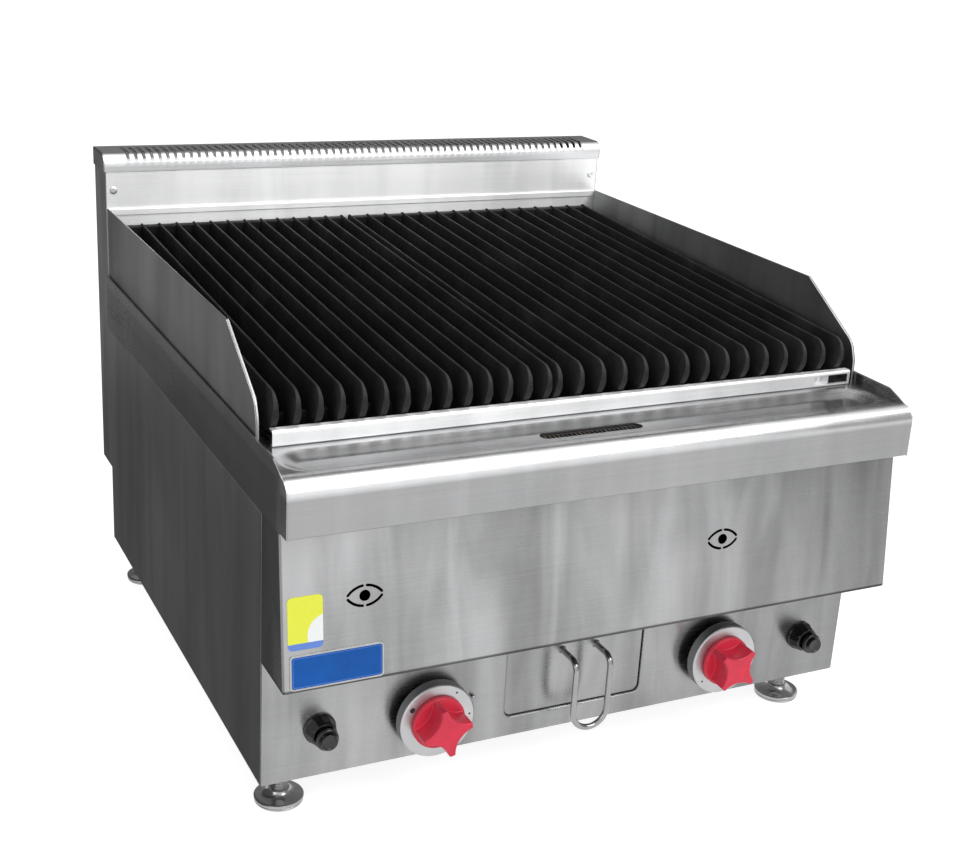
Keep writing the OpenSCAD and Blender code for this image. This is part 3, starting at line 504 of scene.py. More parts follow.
def brushed_steel(name, colour, along, roughness=0.27, uneven=0.17, lines=0.05, zones=()):
    """Stainless sheet brushed along one axis, with upright smears and soft patches.

    Each zone darkens the colour by place as painted shade: (share of the colour left there,
    ((axis, where it starts, where it is full), ...)), in millimetres.
    """
    r = Recipe(name, colour, 1.0, roughness)
    r.brushed(along.upper(), 0.8)
    fine = tuple(9.0 if axis == along else 1500.0 for axis in "xyz")
    medium = tuple(2.0 if axis == along else 260.0 for axis in "xyz")
    grain = r.noise(r.stretched(fine), 1.0, 3.0, 0.6)
    band = r.noise(r.stretched(medium), 1.0, 2.0, 0.5)
    smear = r.noise(r.stretched((24.0, 24.0, 3.5)), 1.0, 3.0, 0.5, 0.5)
    patch = r.noise(r.stretched((7.0, 7.0, 4.0)), 1.0, 2.0, 0.5, 0.6)
    tone = r.sum(r.vary(smear, -uneven, uneven), r.vary(patch, -uneven * 0.6, uneven * 0.6))
    tone = r.sum(tone, r.spread(grain, 0.25, 0.75, -0.05, 0.05))
    tone = r.sum(tone, r.vary(band, -0.015, 0.015))
    tone = r.spread(tone, -0.5, 0.5, 0.0, 1.0)
    shade = r.shades(tone, [(0.0, scaled(colour, 0.5)), (0.5, colour), (1.0, scaled(colour, 1.5))])
    axes = r.axes()
    for left, ranges in zones:
        amount = None
        for axis, start, full in ranges:
            step = r.spread(axes[axis], start * MM, full * MM, 0.0, 1.0)
            amount = step if amount is None else r.sum(amount, step, "MULTIPLY")
        shade = r.blend(amount, shade, r.blend(1.0, shade, (left, left, left), "MULTIPLY"))
    gloss = r.sum(r.vary(patch, roughness + 0.04, roughness - 0.04), r.vary(grain, -0.03, 0.03))
    waves = r.noise(r.stretched((5.0, 5.0, 5.0)), 1.0, 1.0, 0.4)
    r.done(shade, gloss, r.relief(grain, lines, 0.0004, r.relief(waves, 0.2, 0.004)))


def plain_metal(name, colour, roughness):
    """Bright or plain metal with a faint tooth and small differences in tone"""
    r = Recipe(name, colour, 1.0, roughness)
    spots = r.noise(r.place, 60.0, 4.0, 0.6)
    tooth = r.noise(r.place, 900.0, 2.0, 0.5)
    r.even(colour, roughness, spots, tooth, (0.9, 1.1), (0.04, 0.08), 0.1)


def heat_dulled_steel(name, colour):
    """Steel that has been hot: straw, brown and blue tints over a dull scale"""
    brown, blue = (0.075, 0.062, 0.05), (0.055, 0.053, 0.06)
    r = Recipe(name, colour, 1.0, 0.5)
    cloud = r.noise(r.place, 9.0, 5.0, 0.6, 0.8)
    scale = r.noise(r.place, 120.0, 5.0, 0.65)
    tints = r.shades(cloud, [(0.25, scaled(colour, 0.55)), (0.42, brown), (0.52, blue),
                             (0.62, scaled(colour, 0.9)), (0.8, colour)])
    r.done(r.blend(r.spread(scale, 0.35, 0.65, 0.0, 0.5), tints, scaled(colour, 0.45)),
           r.vary(scale, 0.38, 0.7), r.relief(scale, 0.2, 0.0005))


def cast_iron(name, colour, front):
    """Black seasoned casting with sand texture and small pits; the noses are lighter in patches towards the
    front, as a painted highlight
    """
    r = Recipe(name, colour, 0.0, 0.5, 0.15)
    sand = r.noise(r.place, 900.0, 4.0, 0.65)
    lumps = r.noise(r.place, 130.0, 4.0, 0.6)
    pits = r.cells(420.0)
    cloud = r.noise(r.place, 18.0, 4.0, 0.6)
    shade = r.shades(r.sum(r.vary(cloud, 0.0, 0.7), r.vary(sand, 0.0, 0.3)),
                     [(0.1, scaled(colour, 0.6)), (0.55, colour), (0.95, scaled(colour, 2.1))])
    # Painted highlight: the front of the noses lighter in patches
    nose_highlight = r.sum(r.spread(r.axes()["Y"], (front + 22) * MM, (front + 1) * MM, 0.0, 0.8),
                    r.spread(lumps, 0.35, 0.65, 0.5, 1.0), "MULTIPLY")
    shade = r.blend(nose_highlight, shade, scaled(colour, 3.2))
    gloss = r.vary(lumps, 0.5, 0.72)
    under = r.relief(sand, 0.35, 0.0004, r.relief(lumps, 0.35, 0.0012))
    r.done(shade, gloss, r.relief(r.spread(pits, 0.0, 0.35, 0.0, 1.0), 0.25, 0.0003, under))


def moulded(name, colour, roughness, tooth, specular):
    """Moulded or painted surface: even colour with a fine tooth and faint flow marks"""
    r = Recipe(name, colour, 0.0, roughness, specular)
    flow = r.noise(r.place, 45.0, 3.0, 0.5, 0.5)
    grain = r.noise(r.place, 1600.0, 2.0, 0.5)
    r.even(colour, roughness, flow, grain, (0.88, 1.1), (0.05, 0.08), tooth)


def turned_metal(name, colour, roughness, rim):
    """Metal faced in a lathe: fine rings round its own centre, and the rim behind the face darker"""
    r = Recipe(name, colour, 1.0, roughness)
    r.brushed("Y", 0.75)
    axes = r.axes()
    behind = r.spread(axes["Y"], rim * MM, (rim + 0.5) * MM, 0.0, 1.0)
    reach = r.sum(r.sum(r.sum(axes["X"], 2, "POWER"), r.sum(axes["Z"], 2, "POWER")), 0.5, "POWER")
    rings = r.noise(r.put("ShaderNodeCombineXYZ", 0, {0: reach}), 2600.0, 2.0, 0.6)
    cloud = r.noise(r.place, 60.0, 3.0, 0.5)
    face = r.shades(r.sum(r.vary(rings, 0.0, 0.5), r.vary(cloud, 0.0, 0.5)),
                    [(0.1, scaled(colour, 0.92)), (0.9, scaled(colour, 1.12))])
    r.done(r.blend(behind, face, scaled(colour, 0.62)),
           r.vary(cloud, roughness - 0.04, roughness + 0.05), r.relief(rings, 0.12, 0.0002))


def drawn_wire(name, colour, roughness):
    """Drawn bright wire with long faint die lines"""
    r = Recipe(name, colour, 1.0, roughness)
    lines = r.noise(r.stretched((900.0, 900.0, 14.0)), 1.0, 2.0, 0.5)
    cloud = r.noise(r.place, 70.0, 3.0, 0.5)
    r.even(colour, roughness, cloud, lines, (0.9, 1.05), (0.03, 0.07), 0.08)


def printed_film(name, field, patch, band, low, high):
    """Printed film: a plain field, a pale patch low on one side and a band along the lower edge.

    The places are shares of the label's width and height, the radius is in millimetres.
    """
    patch_across, patch_up, patch_radius, band_top = 1.15, 0.24, 17.5, 0.125
    wide, tall = high.x - low.x, high.z - low.z
    r = Recipe(name, field, 0.0, 0.4)
    axes = r.axes()
    across = r.spread(axes["X"], low.x * MM, high.x * MM, 0.0, 1.0)
    up = r.spread(axes["Z"], low.z * MM, high.z * MM, 0.0, 1.0)
    squares = [r.sum(r.sum(r.sum(share, -centre), span, "MULTIPLY"), 2, "POWER")
               for share, centre, span in ((across, patch_across, wide), (up, patch_up, tall))]
    in_patch = r.sum(r.sum(*squares), patch_radius * patch_radius, "LESS_THAN")
    in_band = r.sum(up, band_top, "LESS_THAN")
    grain = r.noise(r.place, 300.0, 2.0, 0.5)
    base = r.blend(r.vary(grain, 0.0, 0.25), field, scaled(field, 0.9))
    base = r.blend(in_patch, base, patch)
    r.done(r.blend(in_band, base, band), 0.4, r.relief(grain, 0.05, 0.0001))


# ---------------- sizes and colours a user would change

def length(name, description, default, low, high):
    return bpy.props.FloatProperty(name=name, description=description, default=default, min=low, max=high,
                                   unit="LENGTH", precision=4)


def tint(name, description, default):
    return bpy.props.FloatVectorProperty(name=name, description=description, default=default, size=3,
                                         min=0.0, max=1.0, subtype="COLOR")


class GrillSizes(bpy.types.PropertyGroup):
    sheet: length("Sheet", "Thickness of the cabinet sheet", 0.0012, 0.0008, 0.0015)
    fold: length("Fold radius", "Outer radius of a fold in the sheet", 0.002, 0.0005, 0.004)
    nosing_radius: length("Nosing radius", "Radius of the top's rounded front edge", 0.0125, 0.008, 0.014)
    gutter_depth: length("Gutter depth", "Depth of the pressed grease gutter", 0.006, 0.003, 0.008)
    bar_width: length("Bar width", "Width of a grate bar at its thickest", 0.0064, 0.0054, 0.007)
    bar_crest: length("Bar crest", "Width of a grate bar along its top", 0.0024, 0.002, 0.003)
    bar_foot: length("Bar foot", "Width of a grate bar along its lower edge", 0.005, 0.004, 0.0054)
    bar_depth: length("Bar depth", "Height of a grate bar", 0.040, 0.038, 0.040)
    bar_edge: length("Bar edge", "Rounding of the edges of a grate bar", 0.0008, 0.0002, 0.001)
    left_bars: bpy.props.IntProperty(name="Left bars", description="Bars in the left grate", default=14,
                                     min=10, max=14)
    right_bars: bpy.props.IntProperty(name="Right bars", description="Bars in the right grate", default=15,
                                      min=10, max=15)
    grate_rise: bpy.props.FloatProperty(name="Grate rise", description="Backward rise of the grates",
                                        default=radians(2.6), min=0.0, max=radians(2.8), unit="ROTATION")
    cap_slots: bpy.props.IntProperty(name="Cap slots", description="Slots in the flue cap", default=65,
                                     min=50, max=66)
    cap_slot_width: length("Cap slot width", "Width of one slot in the flue cap", 0.0039, 0.003, 0.0042)
    handle_radius: length("Handle radius", "Radius of the drawer's wire handle", 0.0028, 0.002, 0.0028)
    grip_scoop: length("Grip scoop", "Radius of the scoops in a knob's grip", 0.022, 0.02, 0.024)


class GrillColours(bpy.types.PropertyGroup):
    stainless: tint("Stainless", "Brushed stainless sheet", (0.33, 0.332, 0.336))
    # Painted highlight: the stainless lightened to stand for the light on the flue box, front strip and rear
    # guard; the screws share the colour
    lit_sheet: tint("Bright sheet", "Brighter stainless of the flue and front strip", (0.80, 0.803, 0.808))
    bright: tint("Bright metal", "Screws, handle and feet", (0.42, 0.42, 0.42))
    dial: tint("Dial", "Turned aluminium of the dials", (0.48, 0.48, 0.49))
    hot_steel: tint("Hot steel", "Steel parts in the fire", (0.07, 0.068, 0.066))
    iron: tint("Iron", "Cast grates", (0.0135, 0.0135, 0.014))
    red: tint("Red", "Knob grips", (0.74, 0.036, 0.075))
    black: tint("Black", "Igniters", (0.006, 0.006, 0.0065))
    blue: tint("Blue", "Field of the badge", (0.012, 0.105, 0.42))
    yellow: tint("Yellow", "Field of the label", (0.87, 0.905, 0.062))
    pale: tint("Pale", "Pale patch of the label", (0.93, 0.95, 0.94))
    band: tint("Band", "Band of the label", (0.13, 0.26, 0.72))
    brass: tint("Brass", "Gas fittings", (0.62, 0.42, 0.16))
    pipe: tint("Pipe", "Bent aluminium pipes", (0.72, 0.73, 0.74))
    paint: tint("Paint", "Paint of the gas pipe", (0.05, 0.05, 0.052))
    ceramic: tint("Ceramic", "Glazed ceramic", (0.78, 0.76, 0.70))


class GrillOperator(bpy.types.Operator):
    """Adds pieces of the grill"""
    bl_options = {"REGISTER", "UNDO"}

    @property
    def sizes(self):
        return bpy.context.scene.grill_sizes

    @property
    def colours(self):
        return bpy.context.scene.grill_colours


# ---------------- stage

def flat_mesh(name, half_x, half_y, z=0.0):
    """A rectangle round the origin, in metres"""
    mesh = bpy.data.meshes.new(name)
    mesh.from_pydata([(-half_x, -half_y, z), (half_x, -half_y, z), (half_x, half_y, z), (-half_x, half_y, z)],
                     [], [(0, 1, 2, 3)])
    return mesh


def turn_to(item, way):
    """Turns the item's Z axis that way"""
    item.rotation_mode = "QUATERNION"
    item.rotation_quaternion = Vector(way).to_track_quat("Z", "Y")


class GRILL_OT_stage(GrillOperator):
    """Lays the floor and sets the studio light, the cards and the camera"""
    bl_idname = "grill.stage"
    bl_label = "Stage"

    def card(self, name, centre, size, facing, shade):
        """A glowing card that only mirrors see"""
        mesh = flat_mesh(name, size[0] / 2, size[1] / 2)
        item = new_object(name, mesh)
        turn_to(item, facing)
        item.location = centre
        material = bpy.data.materials.new(name)
        wires = Wiring(material)
        glow = wires.put("ShaderNodeEmission", 0, {"Color": (shade, shade, shade)})
        wires.put("ShaderNodeOutputMaterial", None, {"Surface": glow})
        mesh.materials.append(material)
        item.visible_camera = item.visible_diffuse = False
        item.visible_shadow = item.visible_transmission = False
        item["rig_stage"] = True

    def lamp(self, name, place, aim, size, power, shiny=True):
        light = bpy.data.lights.new(name, "AREA")
        light.shape = "RECTANGLE"
        light.size, light.size_y = size
        light.energy = power
        item = new_object(name, light)
        item.location = place
        turn_to(item, Vector(place) - Vector(aim))
        item.visible_glossy = shiny

    def split(self, wires, kind, plain, direct):
        """Shows direct to camera, glossy and transmission rays, and plain to every other ray"""
        paths = wires.add("ShaderNodeLightPath").outputs
        seen = paths["Is Camera Ray"]
        for ray in ("Is Glossy Ray", "Is Transmission Ray"):
            seen = wires.put("ShaderNodeMath", 0, {0: seen, 1: paths[ray]}, operation="MAXIMUM")
        mix = wires.put("ShaderNodeMixShader", 0, {0: seen, 1: plain, 2: direct})
        wires.put(kind, None, {"Surface": mix})

    def room(self):
        """Grey surroundings that light the grill, with a white backdrop behind it"""
        world = bpy.data.worlds.new("studio")
        bpy.context.scene.world = world
        wires = Wiring(world)
        surroundings, backdrop = (wires.put("ShaderNodeBackground", 0, {"Color": (shade, shade, shade)})
                                  for shade in (0.68, 1.0))
        self.split(wires, "ShaderNodeOutputWorld", surroundings, backdrop)

    def floor(self, level):
        """A floor that looks almost white and still takes shadows"""
        reach, clearance = 9.0, 0.0004
        mesh = flat_mesh("floor", reach, reach, level - clearance)
        floor = new_object("floor", mesh)
        material = bpy.data.materials.new("floor")
        wires = Wiring(material)
        matt, pale = (wires.put("ShaderNodeBsdfDiffuse", 0, {"Color": (shade, shade, shade)})
                      for shade in (0.7, 0.4))
        glow = wires.put("ShaderNodeEmission", 0, {"Strength": 0.84})
        both = wires.put("ShaderNodeAddShader", 0, {0: pale, 1: glow})
        self.split(wires, "ShaderNodeOutputMaterial", matt, both)
        mesh.materials.append(material)
        floor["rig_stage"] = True

    def cards(self, low):
        """Cards that stand beside, behind and above the grill for its sheets to mirror"""
        side_low, side_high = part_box("side_panel_left")
        front, bend, end = side_low.y, 0.40, 0.90
        waist, x = side_high.z, low.x - 0.06
        for name, y0, y1, z0, z1, shade in (("low", front, bend, 0.0, waist, 0.13),
                                            ("high", front, bend, waist, 0.62, 0.24),
                                            ("rear", bend, end, 0.0, 0.90, 0.13)):
            centre = (x, (y0 + y1) / 2, (z0 + z1) / 2)
            self.card("left_card_" + name, centre, (y1 - y0, z1 - z0), (1, 0, 0), shade)
        self.card("left_card_floor", ((x + low.x) / 2, (front + end) / 2, low.z), (low.x - x, end - front),
                  (0, 0, 1), 0.13)
        self.card("back_card", (0.9, 2.4, 2.2), (6.0, 4.6), (0, -1, 0), 0.20)
        self.card("right_card", (2.3, -1.7, 1.0), (1.9, 2.6), (-0.8, 0.6, 0), 0.42)
        self.card("softbox", (0.6, -0.95, 1.60), (1.6, 0.95), (-0.35, 0.3, -0.85), 4.0)

    def camera(self):
        turn, lift, roll = radians(-26.74), radians(19.77), radians(3.36)
        x, y, z = -0.6428, -1.3231, 0.7680
        back = Vector((sin(turn) * cos(lift), -cos(turn) * cos(lift), sin(lift)))
        right = Vector((cos(turn), sin(turn), 0))
        up = back.cross(right)
        right, up = cos(roll) * right + sin(roll) * up, cos(roll) * up - sin(roll) * right
        data = bpy.data.cameras.new("camera")
        data.sensor_width = 36
        data.lens = 56.59
        data.clip_start, data.clip_end = 0.02, 60
        camera = new_object("camera", data)
        camera.matrix_world = Matrix(((right.x, up.x, back.x, x), (right.y, up.y, back.y, y),
                                      (right.z, up.z, back.z, z), (0, 0, 0, 1)))
        bpy.context.scene.camera = camera

    def execute(self, context):
        bpy.context.scene.view_settings.view_transform = "Standard"
        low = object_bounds()[0]
        self.room()
        self.floor(low.z)
        self.lamp("key", (0.9, -1.9, 1.9), (0, 0, 0.25), (1.4, 1.0), 20)
        self.lamp("top", (0.0, -0.3, 2.2), (0, 0, 0.3), (1.6, 1.2), 12)
        self.lamp("fill", (-1.9, -1.2, 1.0), (0, 0, 0.2), (1.0, 1.0), 3)
        self.lamp("back", (0.6, 1.9, 1.4), (0, 0.2, 0.3), (1.2, 0.8), 6, False)
        self.cards(low)
        self.camera()
        return {"FINISHED"}


class GRILL_OT_finishes(GrillOperator):
    """Mixes the finishes and gives them to the CAD nodes that keep their own shape"""
    bl_idname = "grill.finishes"
    bl_label = "Finishes"

    def ends(self, node, left, start, full):
        """Painted shade zones at the left and right ends of a sheet; the distances are measured from each end
        """
        low, high = corners(node)
        return ((left, (("X", low.x + start, low.x + full),)),
                (left, (("X", high.x - start, high.x - full),)))

    def execute(self, context):
        c = self.colours
        # pale holds the stainless lightened as a painted highlight
        steel, pale, bright = tuple(c.stainless), tuple(c.lit_sheet), tuple(c.bright)
        front, deck = corners("top_frame")[0].y, corners("side_guard_left")[0].z
        hem, fold = corners("front_panel")[0].z, corners("side_panel_left")[0].y
        cap_top, noses = corners("flue_cap")[1].z, corners("grate_left")[0].y
        rim = corners("dial_left")[0].y - middle("dial_left").y + 1.2
        # Painted shade: the right end of the front sheets is darkened to 0.78 of their colour
        shaded_right_end = (0.78, (("X", 30, 230),))
        # Painted shade: a dark band along the front panel's lower fold, standing for the dark it mirrors
        shaded_hem = (0.26, (("Z", hem + 3.8, hem + 2.4),))
        # Painted shade: the side panels' front fold is darkened over its highlight
        shaded_fold = (0.6, (("Y", fold + 2.4, fold + 1.2),))
        # Painted light on the top: deck, gutter and the nosing's lower face are darkened as painted shade,
        # leaving the nosing's rounded top as a painted highlight
        nosing_highlight_gutter_shade = ((0.52, (("Y", front + 13, front + 20),)),
                       (0.52, (("Y", front + 20, front + 13), ("Z", deck - 8.5, deck - 14))),
                       (0.68, (("Y", front + 22, front + 27), ("Z", deck - 0.4, deck - 2.5))))
        # Painted shade on the front panel: its right end, its lower fold and both folded ends are darker
        apron_painted_shade = (shaded_right_end, shaded_hem) + self.ends("front_panel", 0.55, 2.2, 1.2)
        # Painted shade on the flue cap: its top, standing for the dark it mirrors, and both end plates are
        # darker
        cap_painted_shade = ((0.45, (("Z", cap_top - 3.0, cap_top - 0.8),)),) + self.ends("flue_cap", 0.6, 1.6, 0.6)
        # Painted shade: the flue box's ends are darker
        flue_painted_shade = self.ends("flue_box", 0.55, 1.6, 0.6)
        brushed_steel("stainless_across", steel, "x", uneven=0.26, zones=(shaded_right_end,))
        brushed_steel("stainless_apron", steel, "x", uneven=0.26, zones=apron_painted_shade)
        brushed_steel("stainless_deep", steel, "y")
        brushed_steel("stainless_side", scaled(steel, 1.2), "y", 0.40, zones=(shaded_fold,))
        # The top's stainless at 1.92 times the colour is the painted highlight on the nosing; its zones
        # darken the rest again
        brushed_steel("stainless_top_lit", scaled(steel, 1.92), "x", 0.25, 0.08, 0.04, nosing_highlight_gutter_shade)
        # The cap's stainless at 2.4 times the colour is a painted highlight on its front and rounded corner
        brushed_steel("stainless_cap_lit", scaled(steel, 2.4), "x", 0.27, 0.06, 0.04, cap_painted_shade)
        brushed_steel("stainless_lit", pale, "x", 0.42, 0.12, 0.05, flue_painted_shade)
        for name, colour, roughness in (
                ("screw_steel", pale, 0.42), ("bright_steel", bright, 0.2),
                ("plain_steel", scaled(steel, 0.9), 0.34), ("brass_fittings", c.brass, 0.3),
                ("pipe_aluminium", c.pipe, 0.32)):
            plain_metal(name, tuple(colour), roughness)
        for name, colour, roughness, tooth, specular in (
                ("red_plastic", c.red, 0.36, 0.1, 0.35), ("black_plastic", c.black, 0.15, 0.06, 0.55),
                ("pipe_paint", c.paint, 0.5, 0.3, 0.5), ("glazed_ceramic", c.ceramic, 0.15, 0.03, 0.5),
                ("lead_rubber", (0.02, 0.02, 0.021), 0.55, 0.3, 0.4),
                ("mark_and_shade_paint", (0.015, 0.015, 0.015), 0.5, 0.2, 0.4),
                ("line_enamel", c.band, 0.3, 0.05, 0.2), ("blue_enamel", c.blue, 0.3, 0.05, 0.12)):
            moulded(name, tuple(colour), roughness, tooth, specular)
        drawn_wire("drawn_wire", scaled(bright, 0.8), 0.1)
        turned_metal("dial_aluminium", tuple(c.dial), 0.34, rim)
        heat_dulled_steel("heat_dulled_steel", tuple(c.hot_steel))
        cast_iron("grate_iron", tuple(c.iron), noses)
        printed_film("label_film", tuple(c.yellow), tuple(c.pale), tuple(c.band), *corners("label_plate"))
        for node, item in frame["nodes"].items():
            slot = SLOT[node]
            item.data.materials.clear()
            item.data.materials.append(finish("stainless_across" if slot == "stainless" else slot))
        for node in ("drawer_tray", "drawer_runners"):
            frame["nodes"][node].data.materials[0] = finish("stainless_deep")
        return {"FINISHED"}


# ---------------- cabinet

class GRILL_OT_side_panels(GrillOperator):
    """Adds the two side panels with their folded upper flanges"""
    bl_idname = "grill.side_panels"
    bl_label = "Side panels"

    def execute(self, context):
        t, fold = self.sizes.sheet / MM, 1.6
        for side, node in ((-1, "side_panel_left"), (1, "side_panel_right")):
            low, high = corners(node)
            outer = (high.x if side > 0 else low.x) - side * t / 2
            inner = low.x if side > 0 else high.x
            line = [(outer, low.z), (outer, high.z - t / 2), (inner, high.z - t / 2)]
            bm = bmesh.new()
            push(bm, strip(rounded(line, fold, closed=False), t), low.y, high.y, ALONG_Y)
            add_piece(node + "_sheet", bm, node, "stainless_side", edge=0.25)
        return {"FINISHED"}


class GRILL_OT_front_panel(GrillOperator):
    """Adds the leaning front panel: folded ends and foot, an upstand and two eye-shaped sight holes"""
    bl_idname = "grill.front_panel"
    bl_label = "Front panel"

    def eye(self):
        """Outlines of one sight hole: a pupil and four curved slots"""
        lid, drop, half, inner, outer, pupil = 18.7, 10.1, 1.15, 1.9, 14.5, 4.75
        a0, a1 = (acos(reach / lid) * 180 / pi for reach in (inner, outer))
        ends = [arc((lid * cos(radians(a)), lid * sin(radians(a)) - drop), half, start, start + 180, 6)[1:-1]
                for a, start in ((a0, a0), (a1, a1 + 180))]
        slot = arc((0, -drop), lid + half, a1, a0) + ends[0] + arc((0, -drop), lid - half, a0, a1) + ends[1]
        slots = [[(side * x, up * y) for x, y in slot] for up in (-1, 1) for side in (-1, 1)]
        return [arc((0, 0), pupil, 0, 345, 23)] + slots

    def execute(self, context):
        t, fold = self.sizes.sheet / MM, self.sizes.fold / MM
        low, high = corners("front_panel")
        seam = corners("side_panel_left")[1].z
        back = corners("control_panel")[0].y
        seam_y = low.y + LEAN
        bm = bmesh.new()
        rows = []
        for y, z in ((seam_y, seam), (low.y, low.z)):
            line = ((low.x, back, z), (low.x, y, z), (high.x, y, z), (high.x, back, z))
            rows.append([bm.verts.new(p) for p in line])
        for i in range(3):
            bm.faces.new((rows[0][i], rows[0][i + 1], rows[1][i + 1], rows[1][i]))
        bm.faces.new(rows[1])
        folds = [e for e in bm.edges if not e.is_boundary]
        bmesh.ops.bevel(bm, geom=folds, offset=fold, segments=5, profile=0.5, affect="EDGES")
        slope = (seam_y - low.y) / (seam - low.z)
        tilt = Matrix.Rotation(-atan2(seam_y - low.y, seam - low.z), 4, "X")
        eye_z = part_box("pilots")[1].z / MM - 10.5
        knife = bmesh.new()
        for x in (-230.0, 111.0):
            spot = at(x, seam_y - (seam - eye_z) * slope, eye_z, tilt @ ALONG_Y)
            for outline in self.eye():
                push(knife, outline, -5, 5, spot)
        bm = settled(bm, t, knife)
        # Upstand behind the nosing
        push(bm, box_outline(low.x + 1.5, high.x - 1.5, seam_y, seam_y + t), seam - 0.5, high.z)
        add_piece("front_panel_sheet", bm, "front_panel", "stainless_apron", edge=0.12, sharp=26)
        return {"FINISHED"}


class GRILL_OT_control_panel(GrillOperator):
    """Adds the control panel with the rolled lip of the drawer opening"""
    bl_idname = "grill.control_panel"
    bl_label = "Control panel"

    def execute(self, context):
        t = self.sizes.sheet / MM
        low, high = corners("control_panel")
        door_low, door_high = corners("drawer_front")
        gap, roll, low_corner, high_corner = 0.65, 1.6, 7, 1.2
        x0, x1 = door_low.x - gap, door_high.x + gap
        z0, z1 = door_low.z - gap, door_high.z + gap

        def opening(grow):
            """The drawer's opening, larger on every side"""
            radii = [low_corner + grow] * 2 + [high_corner + grow] * 2
            return box_outline(x0 - grow, x1 + grow, z0 - grow, z1 + grow, radii, 8)

        holes = [opening(roll)]
        for side in SIDES:
            for node, radius in (("grip_" + side, 8.0), ("igniter_body_" + side, 10.2)):
                spot = middle(node)
                holes.append(arc((spot.x, spot.z), radius, 0, 352.5, 47))
        bm = bmesh.new()
        face = box_outline(low.x, high.x, low.z, high.z, 0.6)
        plate(bm, [face] + holes, t, at(0, low.y + t / 2, 0, ALONG_Y), 0.25)
        # The lip rolls in from the face and runs back round the opening
        lip = ((roll, 0.0), (roll * 0.62, 0.1), (roll * 0.29, 0.42), (roll * 0.08, 0.95), (0.0, roll),
               (0.0, 7.0), (t, 7.0), (t, 1.2), (roll, 1.1))
        loft(bm, [[(x, low.y + depth, z) for x, z in opening(grow)] for grow, depth in lip], joined=True)
        add_piece("control_panel_sheet", bm, "control_panel", "stainless_across", sharp=35)
        return {"FINISHED"}


# ---------------- top

def channel(away, depth, flat=10, edge=25, ease=2.6):
    """Depth of a pressed channel at a distance from its middle: flat, then a slope, with eased corners"""
    def total(v):
        v = min(abs(v), edge)
        if v < flat:
            return depth * v
        return depth * flat + depth * (edge * (v - flat) - (v * v - flat * flat) / 2) / (edge - flat)

    a, b = away - ease, away + ease
    area = total(b) - total(a) if a >= 0 else total(b) + total(-a)
    return area / (2 * ease)


